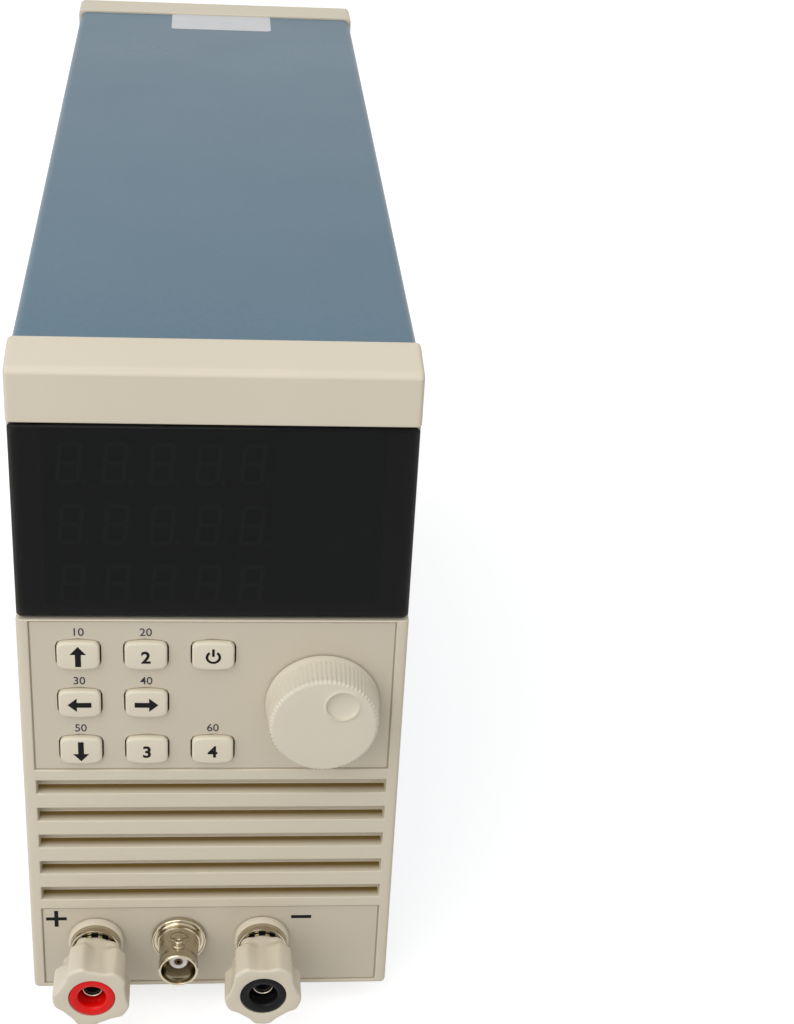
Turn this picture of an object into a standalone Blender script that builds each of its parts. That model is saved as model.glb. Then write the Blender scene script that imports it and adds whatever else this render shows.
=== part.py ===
"""A bench DC electronic load: moulded front, sheet steel case, cooling tunnel and rear panel.

X runs across the front, Y runs from the front to the rear, Z is up. The origin is the middle of the
part's footprint on the bench. A depth is counted back from the front face, and a level is counted
up from the underside of the two bezels.
"""

import math

import bmesh
import bpy
from mathutils import Matrix, Vector

# Overall sizes, in metres
BEZEL_WIDTH = 0.0880
BEZEL_HEIGHT = 0.1720
CASE_DEPTH = 0.2820
FOOT_HEIGHT = 0.0060
POST_REACH = 0.0210

# Clearances
FIT = 0.0003
HOLE_CLEARANCE = 0.0004
OVERCUT = 0.0020
BITE = 0.0005
WELD = 0.00001

# Front bezel, a moulding with a sloping brow, a spigot for the cover and bosses for the board
BEZEL_DEPTH = 0.0124
BEZEL_WALL = 0.0026
FACE_WALL = 0.0044
BROW_DROP = 0.0018
EDGE_CHAMFER = 0.0012
CORNER_RADIUS = 0.0013
SILL_CHAMFER = 0.0006
SPIGOT_REACH = 0.0050
SPIGOT_WALL = 0.0016
BOSS_RADIUS = 0.0026
BOSS_INSET_X = 0.0050
BOSS_FROM_TOP = 0.0110

# Window over the displays
BAND_HEIGHT = 0.0147
WINDOW_HEIGHT = 0.0482
WINDOW_THICKNESS = 0.0024
WINDOW_SIDE_INSET = 0.0002
WINDOW_CHAMFER = 0.0009
APERTURE_MARGIN = 0.0070
APERTURE_HEIGHT = 0.0440

# Thin plates let into the front
PLATE_THICKNESS = 0.0008
PLATE_SET_BACK = 0.0004
PLATE_MARGIN = 0.0027
CONTROL_BELOW_WINDOW = 0.0007
CONTROL_HEIGHT = 0.0411
TERMINAL_LOW = 0.0013
TERMINAL_HEIGHT = 0.0242

# Louvred air intake
SLOT_PITCH = 0.00803
SLOT_HEIGHT = 0.0038
SLOT_BELOW_CONTROL = 0.0030
SLOT_ABOVE_TERMINALS = 0.0025
SLOT_MARGIN = 0.0029
BLADE_LENGTH = 0.0056
BLADE_THICKNESS = 0.0014
BLADE_ANGLE = math.radians(32)

# Keys, by column and row
KEY_MARGIN = 0.00885
KEY_SPACING = 0.0056
KEY_TO_KNOB = 0.0072
KEY_COLUMNS = 3
KEY_HEIGHT = 0.0074
KEY_CROWN = 0.00045
KEY_CORNER = 0.0012
KEY_PROUD = 0.0011
KEY_GAP = 0.00035
KEY_EDGE = 0.0005
KEY_FLANGE = 0.0008
KEY_FLANGE_THICKNESS = 0.0008
KEY_TRAVEL = 0.0006
KEY_ROW_DROP = 0.0088
KEY_ROW_PITCH = 0.0131
KEYS = {
    "key_up": (0, 0), "key_mode": (1, 0), "key_on": (2, 0), "key_left": (0, 1),
    "key_right": (1, 1), "key_down": (0, 2), "key_shift": (1, 2), "key_set": (2, 2),
}

# Front board with its switches, and the display blocks
BOARD_THICKNESS = 0.0016
FRONT_BOARD_DEPTH = 0.0120
FRONT_BOARD_LIFT = 0.0012
FRONT_BOARD_DROP = 0.0080
SWITCH_SIDE = 0.0060
SWITCH_BODY = 0.0035
PLUNGER_RADIUS = 0.0016
DISPLAY_WIDTH = 0.0505
DISPLAY_HEIGHT = 0.0126
DISPLAY_FROM_SIDE = 0.0315
DISPLAY_LIFT = 0.0215
DISPLAY_PITCH = 0.0152

# Rotary encoder and its knob
KNOB_FROM_SIDE = 0.0189
KNOB_DROP = 0.0221
KNOB_REACH = 0.0095
KNOB_RADIUS = 0.0132
KNOB_FRONT_RADIUS = 0.0125
KNOB_CHAMFER = 0.0008
KNOB_SKIRT = 0.0016
KNOB_WALL = 0.0018
KNOB_TEETH = 48
TOOTH_DEPTH = 0.0003
DIMPLE_RADIUS = 0.0041
DIMPLE_DEPTH = 0.0010
DIMPLE_OFFSET = 0.0068
DIMPLE_ANGLE = math.radians(55)
SHAFT_RADIUS = 0.0030
SHAFT_REACH = 0.0080
BUSHING_RADIUS = 0.0045
BUSHING_REACH = 0.0034
ENCODER_SIDE = 0.0130
ENCODER_NUT_RADIUS = 0.0068
ENCODER_NUT_THICKNESS = 0.0020

# Binding posts
POST_FROM_SIDE = 0.0157
POST_SPACING = 0.0407
TERMINAL_LIFT = 0.0143
STUD_RADIUS = 0.0030
STUD_BORE = 0.0020
STUD_RECESS = 0.0046
STUD_INSIDE = 0.0140
SOCKET_DEPTH = 0.0125
COLLAR_RADIUS = 0.0054
COLLAR_THICKNESS = 0.0010
CROWN_RADIUS = 0.0047
CROWN_THICKNESS = 0.0013
WASHER_RADIUS = 0.0068
WASHER_THICKNESS = 0.0019
CAP_LOBES = 8
CAP_REAR_RADIUS = 0.0069
CAP_FRONT_RADIUS = 0.0092
CAP_FLUTE = 0.0009
CAP_CREST = 0.14
CAP_HOLLOW = 0.40
CAP_RIM = 0.0050
CAP_SHOULDER = 0.0022
CAP_EDGE = 0.0006
INSERT_RADIUS = 0.0055
INSERT_LENGTH = 0.0068
INSERT_BORE = 0.0033
POST_NUT_RADIUS = 0.0055
POST_NUT_THICKNESS = 0.0028

# Coaxial socket
COAX_FROM_POST = 0.0203
COAX_REACH = 0.0118
COAX_RADIUS = 0.0048
COAX_BORE = 0.00405
COAX_FLANGE_RADIUS = 0.0067
COAX_FLANGE_THICKNESS = 0.0012
COAX_STEP_RADIUS = 0.0054
COAX_STEP_THICKNESS = 0.0014
COAX_THREAD_RADIUS = 0.0046
COAX_INSIDE = 0.0120
COAX_FLOOR = 0.0030
COAX_NUT_RADIUS = 0.0075
COAX_NUT_THICKNESS = 0.0025
LUG_RADIUS = 0.0010
LUG_PROUD = 0.0011
LUG_REACH = 0.0072
INSULATOR_RADIUS = 0.0023
INSULATOR_RECESS = 0.0033
CONTACT_RADIUS = 0.0011
CONTACT_BORE = 0.0005
CONTACT_TAIL = 0.0140

# Sheet steel cover and bottom pan
SHEET = 0.0012
COVER_INSET = 0.0006
BEND_RADIUS = 0.0020
BEND_STEPS = 4
PAN_LIP = 0.0120
VENT_COUNT = 8
VENT_LENGTH = 0.0240
VENT_HEIGHT = 0.0030
VENT_PITCH = 0.0070
VENT_LEVEL = 0.0220
VENT_FROM_REAR = 0.0200

# Rear bezel and rear panel
REAR_BEZEL_DEPTH = 0.0132
REAR_BORDER = 0.0050
REAR_RIM = 0.0042
PANEL_THICKNESS = 0.0015

# Feet
FOOT_RADIUS = 0.0080
FOOT_TOP_RADIUS = 0.0070
FOOT_INSET_X = 0.0130
FOOT_INSET_Y = 0.0260

# Fan and its guard
FAN_SIDE_GAP = 0.0022
FAN_TOP_GAP = 0.0064
FAN_LIFT = 0.0100
FAN_WALL = 0.0020
FAN_DEPTH = 0.0250
FAN_FLANGE = 0.0036
FAN_NOTCH = 0.0120
FAN_HUB_RADIUS = 0.0165
FAN_HUB_WALL = 0.0040
FAN_TIP_GAP = 0.0010
FAN_BLADES = 7
BLADE_CHORD = 0.0200
BLADE_SKIN = 0.0014
BLADE_CAMBER = 0.0018
BLADE_ROOT_PITCH = math.radians(48)
BLADE_TIP_PITCH = math.radians(62)
BLADE_SWEEP = math.radians(18)
STRUT_WIDTH = 0.0032
STRUT_THICKNESS = 0.0026
STATOR_RADIUS = 0.0118
STATOR_HEIGHT = 0.0150
GUARD_RINGS = 4
GUARD_SIDES = 28
GUARD_WIRE = 0.0008
GUARD_WELD = 0.0005
GUARD_INNER = 0.0085
GUARD_MARGIN = 0.0025
GUARD_EYE_RADIUS = 0.0029
FAN_SCREW_INSET = 0.00425

# Mains inlet with its fuse drawer
INLET_SLACK_SHARE = 0.25
INLET_FROM_TOP = 0.0540
INLET_WIDTH = 0.0270
INLET_HEIGHT = 0.0330
INLET_DEPTH = 0.0240
INLET_FLANGE = 0.0018
INLET_BORDER = 0.0020
SOCKET_WIDTH = 0.0240
SOCKET_HEIGHT = 0.0165
SOCKET_CORNER = 0.0045
SOCKET_CAVITY = 0.0160
SOCKET_LIFT = 0.0052
PIN_WIDTH = 0.0020
PIN_HEIGHT = 0.0040
PIN_SPREAD = 0.0070
PIN_LIFT = 0.0020
PIN_RECESS = 0.0048
DRAWER_WIDTH = 0.0220
DRAWER_HEIGHT = 0.0070
DRAWER_DEPTH = 0.0180
DRAWER_DROP = 0.0105
DRAWER_WALL = 0.0018
FUSE_RADIUS = 0.0025
DRAWER_NOTCH = 0.0056
DRAWER_NOTCH_DEPTH = 0.0013

# Mains switch
SWITCH_FROM_TOP = 0.0480
SWITCH_WIDTH = 0.0125
SWITCH_HEIGHT = 0.0195
SWITCH_DEPTH = 0.0130
SWITCH_FLANGE = 0.0014
SWITCH_BORDER = 0.0015
ROCKER_WIDTH = 0.0092
ROCKER_HALF = 0.0076
ROCKER_CROWN = 0.0032
ROCKER_WAIST = 0.0020
ROCKER_PIVOT = 0.0030
ROCKER_TILT = math.radians(9)

# Supply voltage selector
SELECTOR_SLACK_SHARE = 0.30
SELECTOR_FROM_TOP = 0.0700
SELECTOR_WIDTH = 0.0230
SELECTOR_HEIGHT = 0.0112
SELECTOR_DEPTH = 0.0080
SELECTOR_FLANGE = 0.0012
SELECTOR_BORDER = 0.0015
SELECTOR_SLOT_WIDTH = 0.0130
SELECTOR_SLOT_HEIGHT = 0.0064
SELECTOR_SLOT_DEPTH = 0.0032
SLIDER_WIDTH = 0.0080
GROOVE_WIDTH = 0.0020
GROOVE_DEPTH = 0.0012

# Serial connector
SERIAL_FROM_TOP = 0.0170
SERIAL_FLANGE_WIDTH = 0.0308
SERIAL_FLANGE_HEIGHT = 0.0125
SERIAL_WIDTH = 0.0169
SERIAL_HEIGHT = 0.0083
SERIAL_TAPER = 0.0016
SERIAL_REACH = 0.0040
SERIAL_INSIDE = 0.0100
SERIAL_SKIN = 0.0008
SERIAL_CAVITY = 0.0036

# Cooling tunnel, boards, transformer and bus bars
TUNNEL_SIDE_GAP = 0.0052
TUNNEL_HEIGHT = 0.0640
TUNNEL_ROOF = 0.0070
TUNNEL_SKIN = 0.0030
TUNNEL_FINS = 12
TUNNEL_FIN = 0.0018
TUNNEL_FRONT = 0.0420
TUNNEL_TO_FAN = 0.0140
POWER_BOARD_LIFT = 0.0062
POWER_BOARD_START = 0.0500
TRANSISTOR_PITCH = 0.0310
TRANSISTOR_WIDTH = 0.0160
TRANSISTOR_LENGTH = 0.0210
CAPACITOR_RADIUS = 0.0080
CAPACITOR_HEIGHT = 0.0180
CONTROL_BOARD_LIFT = 0.0260
CONTROL_BOARD_START = 0.0740
CONTROL_BOARD_SHORTER = 0.0230
STANDOFF_RADIUS = 0.0030
CORE_WIDTH = 0.0480
CORE_DEPTH = 0.0200
CORE_HEIGHT = 0.0400
COIL_DEPTH = 0.0340
COIL_WIDTH = 0.0310
COIL_HEIGHT = 0.0260
COIL_ROUNDING = 0.0026
TRANSFORMER_CLEAR = 0.0040
TRANSFORMER_FROM_END = 0.0237
BAR_WIDTH = 0.0120
BAR_THICKNESS = 0.0016
BAR_DEPTH = 0.0300
BAR_OVERLAP = 0.0200

# Frame of the part
FRONT_Y = POST_REACH - (CASE_DEPTH + POST_REACH) / 2
BASE_Z = FOOT_HEIGHT
HALF_WIDTH = BEZEL_WIDTH / 2
COVER_HALF = HALF_WIDTH - COVER_INSET
COVER_INNER_HALF = COVER_HALF - SHEET
COVER_TOP = BEZEL_HEIGHT - COVER_INSET
PAN_TOP = COVER_INSET + SHEET
COVER_START = BEZEL_DEPTH + FIT
COVER_END = CASE_DEPTH - REAR_BEZEL_DEPTH - FIT
SPIGOT_HALF = COVER_INNER_HALF - FIT
PANEL_OUTSIDE = CASE_DEPTH - REAR_RIM - FIT
PANEL_INSIDE = PANEL_OUTSIDE - PANEL_THICKNESS
SWITCH_BOARD_TOP = FRONT_BOARD_DEPTH - SWITCH_BODY

# Places on the front: the window and controls hang from the top, the terminals stand below
WINDOW_HIGH = BEZEL_HEIGHT - BAND_HEIGHT
WINDOW_LOW = WINDOW_HIGH - WINDOW_HEIGHT
APERTURE_WIDTH = BEZEL_WIDTH - 2 * APERTURE_MARGIN
CONTROL_HIGH = WINDOW_LOW - CONTROL_BELOW_WINDOW
CONTROL_LOW = CONTROL_HIGH - CONTROL_HEIGHT
TERMINAL_HIGH = TERMINAL_LOW + TERMINAL_HEIGHT
TERMINAL_LEVEL = TERMINAL_LOW + TERMINAL_LIFT
POST_POSITIVE_X = -HALF_WIDTH + POST_FROM_SIDE
POST_NEGATIVE_X = POST_POSITIVE_X + POST_SPACING
COAX_X = POST_POSITIVE_X + COAX_FROM_POST
SLOT_TOP = CONTROL_LOW - SLOT_BELOW_CONTROL
SLOT_ROOM = SLOT_TOP - SLOT_HEIGHT - SLOT_ABOVE_TERMINALS - TERMINAL_HIGH
SLOT_COUNT = int(SLOT_ROOM / SLOT_PITCH) + 1
KNOB_X = HALF_WIDTH - KNOB_FROM_SIDE
KNOB_LEVEL = CONTROL_HIGH - KNOB_DROP
KEY_ROOM = KNOB_X - KNOB_RADIUS - KEY_TO_KNOB + HALF_WIDTH - KEY_MARGIN
KEY_WIDTH = (KEY_ROOM - (KEY_COLUMNS - 1) * KEY_SPACING) / KEY_COLUMNS
KEY_COLUMN_PITCH = KEY_WIDTH + KEY_SPACING
KEY_COLUMN_X = -HALF_WIDTH + KEY_MARGIN + KEY_WIDTH / 2
KEY_ROW_LEVEL = CONTROL_HIGH - KEY_ROW_DROP
BOSS_TOP_LEVEL = BEZEL_HEIGHT - BOSS_FROM_TOP
BOSS_LOW_LEVEL = KEY_ROW_LEVEL - 1.5 * KEY_ROW_PITCH
FRONT_BOARD_LOW = CONTROL_LOW + FRONT_BOARD_LIFT
FRONT_BOARD_HIGH = BEZEL_HEIGHT - FRONT_BOARD_DROP
DISPLAY_X = -HALF_WIDTH + DISPLAY_FROM_SIDE
DISPLAY_LEVEL = WINDOW_LOW + DISPLAY_LIFT

# Places at the rear: fittings share out the width that the inlet and selector leave, the fan fills
# what is left below them
REAR_SLACK = 2 * (HALF_WIDTH - REAR_BORDER) - INLET_WIDTH - 2 * INLET_BORDER - SELECTOR_WIDTH
INLET_X = REAR_BORDER - HALF_WIDTH + INLET_SLACK_SHARE * REAR_SLACK + INLET_BORDER + INLET_WIDTH / 2
SELECTOR_X = HALF_WIDTH - REAR_BORDER - SELECTOR_SLACK_SHARE * REAR_SLACK - SELECTOR_WIDTH / 2
SWITCH_X = SELECTOR_X
INLET_LEVEL = BEZEL_HEIGHT - INLET_FROM_TOP
SWITCH_LEVEL = BEZEL_HEIGHT - SWITCH_FROM_TOP
SELECTOR_LEVEL = BEZEL_HEIGHT - SELECTOR_FROM_TOP
SERIAL_LEVEL = BEZEL_HEIGHT - SERIAL_FROM_TOP
FAN_ROOM = SELECTOR_LEVEL - SELECTOR_HEIGHT / 2 - FAN_TOP_GAP - FAN_LIFT
FAN_SIDE = min(2 * (COVER_INNER_HALF - FAN_SIDE_GAP), FAN_ROOM)
FAN_LEVEL = FAN_LIFT + FAN_SIDE / 2
FAN_BORE = FAN_SIDE / 2 - FAN_WALL
FAN_SCREW_SPACING = FAN_SIDE - 2 * FAN_SCREW_INSET
GUARD_OUTER = FAN_BORE - GUARD_MARGIN

# Places inside: the tunnel runs back to the fan, the transformer stands at its end
TUNNEL_WIDTH = 2 * (COVER_INNER_HALF - TUNNEL_SIDE_GAP)
TUNNEL_END = PANEL_INSIDE - FIT - FAN_DEPTH - TUNNEL_TO_FAN
TRANSFORMER_MIDDLE = TUNNEL_END - TRANSFORMER_FROM_END - COIL_DEPTH / 2
POWER_BOARD_END = TRANSFORMER_MIDDLE - COIL_DEPTH / 2 - TRANSFORMER_CLEAR
POWER_BOARD_LENGTH = POWER_BOARD_END - POWER_BOARD_START
TRANSISTOR_ROWS = int(POWER_BOARD_LENGTH / TRANSISTOR_PITCH)
CONTROL_BOARD_LENGTH = POWER_BOARD_END - CONTROL_BOARD_SHORTER - CONTROL_BOARD_START

# Turns that lay a piece made along local Z onto the part
TOWARDS_FRONT = (math.pi / 2, 0, 0)
TOWARDS_REAR = (math.pi / 2, 0, math.pi)
ALONG_WIDTH = (math.pi / 2, 0, math.pi / 2)
UPRIGHT = (0, 0, 0)

# Finish of each kind of surface: colour, roughness, metallic
FINISHES = {
    "beige_abs": ((0.660, 0.565, 0.445, 1.0), 0.50, 0.0),
    "silver_beige_plate": ((0.545, 0.480, 0.400, 1.0), 0.42, 0.1),
    "smoked_acrylic": ((0.012, 0.013, 0.014, 1.0), 0.12, 0.0),
    "blue_paint": ((0.125, 0.230, 0.310, 1.0), 0.48, 0.1),
    "zinc_steel": ((0.560, 0.570, 0.560, 1.0), 0.38, 0.9),
    "nickel": ((0.640, 0.610, 0.560, 1.0), 0.22, 1.0),
    "gold": ((0.780, 0.560, 0.220, 1.0), 0.25, 1.0),
    "red_plastic": ((0.640, 0.010, 0.008, 1.0), 0.35, 0.0),
    "black_plastic": ((0.014, 0.014, 0.015, 1.0), 0.40, 0.0),
    "white_insulator": ((0.800, 0.790, 0.770, 1.0), 0.45, 0.0),
    "black_rubber": ((0.020, 0.020, 0.020, 1.0), 0.80, 0.0),
    "green_board": ((0.020, 0.130, 0.055, 1.0), 0.45, 0.0),
    "aluminium": ((0.720, 0.725, 0.730, 1.0), 0.35, 1.0),
    "copper": ((0.720, 0.330, 0.170, 1.0), 0.30, 1.0),
    "varnished_core": ((0.105, 0.085, 0.065, 1.0), 0.50, 0.4),
}


def depth(distance):
    """Y of a plane that lies this far behind the front face."""
    return FRONT_Y + distance


def level(height):
    """Z of a plane that lies this far above the bezels' underside."""
    return BASE_Z + height


def finish(obj, name):
    """Give an object the named finish, made once and shared."""
    material = bpy.data.materials.get(name)
    if material is None:
        colour, roughness, metallic = FINISHES[name]
        material = bpy.data.materials.new(name)
        material.use_nodes = True
        shader = material.node_tree.nodes["Principled BSDF"]
        shader.inputs["Base Color"].default_value = colour
        shader.inputs["Roughness"].default_value = roughness
        shader.inputs["Metallic"].default_value = metallic
    obj.data.materials.append(material)


def place(name, mesh, look, location, rotation=UPRIGHT):
    """Add a mesh to the part at its place, or to the tools when it has no finish."""
    obj = bpy.data.objects.new(name, mesh)
    obj.location = location
    obj.rotation_euler = rotation
    if look is None:
        obj.hide_render = True
        obj.display_type = "WIRE"
        TOOLS.objects.link(obj)
    else:
        finish(obj, look)
        PARTS.objects.link(obj)
    return obj


def block(name, look, low, high):
    """A rectangular block between two corners given as (x, depth, level)."""
    low_corner = Vector((low[0], depth(low[1]), level(low[2])))
    high_corner = Vector((high[0], depth(high[1]), level(high[2])))
    size = high_corner - low_corner
    form = bmesh.new()
    bmesh.ops.create_cube(form, size=1.0, matrix=Matrix.Diagonal(size.to_4d()))
    mesh = bpy.data.meshes.new(name)
    form.to_mesh(mesh)
    form.free()
    return place(name, mesh, look, (low_corner + high_corner) / 2)


def drum(name, look, radius, length, location, rotation=UPRIGHT, sides=24):
    """A round bar centred on its location."""
    form = bmesh.new()
    bmesh.ops.create_cone(
        form, cap_ends=True, segments=sides, radius1=radius, radius2=radius, depth=length
    )
    mesh = bpy.data.meshes.new(name)
    form.to_mesh(mesh)
    form.free()
    mesh.shade_smooth()
    mesh.set_sharp_from_angle(angle=math.radians(40))
    return place(name, mesh, look, location, rotation)


def turned(name, look, profile, location, rotation=TOWARDS_FRONT, sides=24):
    """A turned piece: (radius, reach) points run down the outer side, then back up any bore."""
    mesh = bpy.data.meshes.new(name)
    form = bmesh.new()
    points = [form.verts.new((radius, 0, reach)) for radius, reach in profile]
    for start, end in zip(points, points[1:]):
        form.edges.new((start, end))
    if profile[0][0] > 0:
        form.edges.new((points[-1], points[0]))
    form.to_mesh(mesh)
    form.free()
    obj = place(name, mesh, look, location, rotation)
    screw = obj.modifiers.new("Turn", "SCREW")
    screw.angle = 2 * math.pi
    screw.steps = sides
    screw.render_steps = sides
    screw.use_merge_vertices = True
    screw.merge_threshold = WELD
    screw.use_normal_calculate = False
    return obj


def ring_profile(outer, bore, low, high, edge=0.0):
    """Profile of a ring between two reaches, with a chamfered outer edge at the high end."""
    rim = [(outer - edge, high), (outer, high - edge)] if edge else [(outer, high)]
    return rim + [(outer, low), (bore, low), (bore, high)]


def plate(name, look, outlines, thickness, location, rotation=TOWARDS_FRONT):
    """A flat plate centred on its location: the first outline is its edge, the rest are holes."""
    curve = bpy.data.curves.new(name, "CURVE")
    curve.dimensions = "2D"
    curve.fill_mode = "BOTH"
    curve.extrude = thickness / 2
    for outline in outlines:
        spline = curve.splines.new("POLY")
        spline.points.add(len(outline) - 1)
        for point, (x, y) in zip(spline.points, outline):
            point.co = (x, y, 0, 1)
        spline.use_cyclic_u = True
    guide = bpy.data.objects.new(name + "_outline", curve)
    TOOLS.objects.link(guide)
    bpy.context.view_layer.update()
    evaluated = guide.evaluated_get(bpy.context.evaluated_depsgraph_get())
    mesh = bpy.data.meshes.new_from_object(evaluated)
    mesh.name = name
    form = bmesh.new()
    form.from_mesh(mesh)
    bmesh.ops.remove_doubles(form, verts=form.verts, dist=WELD)
    bmesh.ops.dissolve_limit(
        form, angle_limit=math.radians(1), verts=form.verts, edges=form.edges
    )
    bmesh.ops.recalc_face_normals(form, faces=form.faces)
    form.to_mesh(mesh)
    form.free()
    mesh.materials.clear()
    bpy.data.objects.remove(guide)
    bpy.data.curves.remove(curve)
    return place(name, mesh, look, location, rotation)


def loft(name, look, sections, location, rotation=TOWARDS_FRONT):
    """A closed solid through rings of equal count, each given as (reach, points)."""
    form = bmesh.new()
    rings = []
    for reach, outline in sections:
        rings.append([form.verts.new((x, y, reach)) for x, y in outline])
    form.faces.new(rings[0])
    form.faces.new(rings[-1])
    for ring, following in zip(rings, rings[1:]):
        count = len(ring)
        for index in range(count):
            after = (index + 1) % count
            form.faces.new((ring[index], ring[after], following[after], following[index]))
    bmesh.ops.recalc_face_normals(form, faces=form.faces)
    mesh = bpy.data.meshes.new(name)
    form.to_mesh(mesh)
    form.free()
    return place(name, mesh, look, location, rotation)


def cut(target, *cutters):
    """Take each cutter's shape out of the target."""
    combine(target, cutters, "DIFFERENCE")


def fuse(target, *pieces):
    """Join each guide shape onto the target."""
    combine(target, pieces, "UNION")


def combine(target, pieces, operation):
    """Add one exact Boolean for each piece."""
    for piece in pieces:
        boolean = target.modifiers.new(piece.name, "BOOLEAN")
        boolean.operation = operation
        boolean.object = piece
        boolean.solver = "EXACT"


def round_edges(obj, width, segments=1, limit=50):
    """Break the edges that turn more sharply than the limit, in degrees."""
    bevel = obj.modifiers.new("Edges", "BEVEL")
    bevel.width = width
    bevel.segments = segments
    bevel.limit_method = "ANGLE"
    bevel.angle_limit = math.radians(limit)


def rectangle(width, height, x=0.0, y=0.0):
    """Corner points of a rectangle about a centre."""
    return [
        (x - width / 2, y - height / 2), (x + width / 2, y - height / 2),
        (x + width / 2, y + height / 2), (x - width / 2, y + height / 2),
    ]


def circle(radius, count, x=0.0, y=0.0, start=0.0):
    """Points of a regular polygon about a centre."""
    angles = [start + 2 * math.pi * index / count for index in range(count)]
    return [(x + radius * math.cos(angle), y + radius * math.sin(angle)) for angle in angles]


def arc(radius, start, end, steps, x=0.0, y=0.0):
    """Points of an arc from one angle to another, both ends included."""
    angles = [start + (end - start) * index / steps for index in range(steps + 1)]
    return [(x + radius * math.cos(angle), y + radius * math.sin(angle)) for angle in angles]


def key_outline(gap, x=0.0, y=0.0):
    """Rounded rectangle with bowed long sides, widened all round by a gap."""
    half = KEY_WIDTH / 2 + gap
    crown = KEY_HEIGHT / 2 + gap
    shoulder = crown - KEY_CROWN
    corner = KEY_CORNER + gap
    points = []
    for turn in range(4):
        start = turn * math.pi / 2
        side_x = (half - corner) * (1 if turn in (0, 3) else -1)
        side_y = (shoulder - corner) * (1 if turn in (0, 1) else -1)
        points += arc(corner, start, start + math.pi / 2, 2, side_x, side_y)
        if turn == 0:
            points.append((0, crown))
        if turn == 2:
            points.append((0, -crown))
    return [(x + px, y + py) for px, py in points]


def key_centre(column, row):
    """Centre of a key as (x, level)."""
    return (
        KEY_COLUMN_X + column * KEY_COLUMN_PITCH,
        KEY_ROW_LEVEL - row * KEY_ROW_PITCH,
    )


def bezel_spigot(name, start, end):
    """The ring that carries the cover, as a guide to be fused onto a bezel."""
    outer = block(
        name, None,
        (-SPIGOT_HALF, start, PAN_TOP + FIT),
        (SPIGOT_HALF, end, COVER_TOP - SHEET - FIT),
    )
    bore = block(
        name + "_bore", None,
        (-SPIGOT_HALF + SPIGOT_WALL, start - OVERCUT, PAN_TOP + FIT + SPIGOT_WALL),
        (SPIGOT_HALF - SPIGOT_WALL, end + OVERCUT, COVER_TOP - SHEET - FIT - SPIGOT_WALL),
    )
    cut(outer, bore)
    return outer


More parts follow.
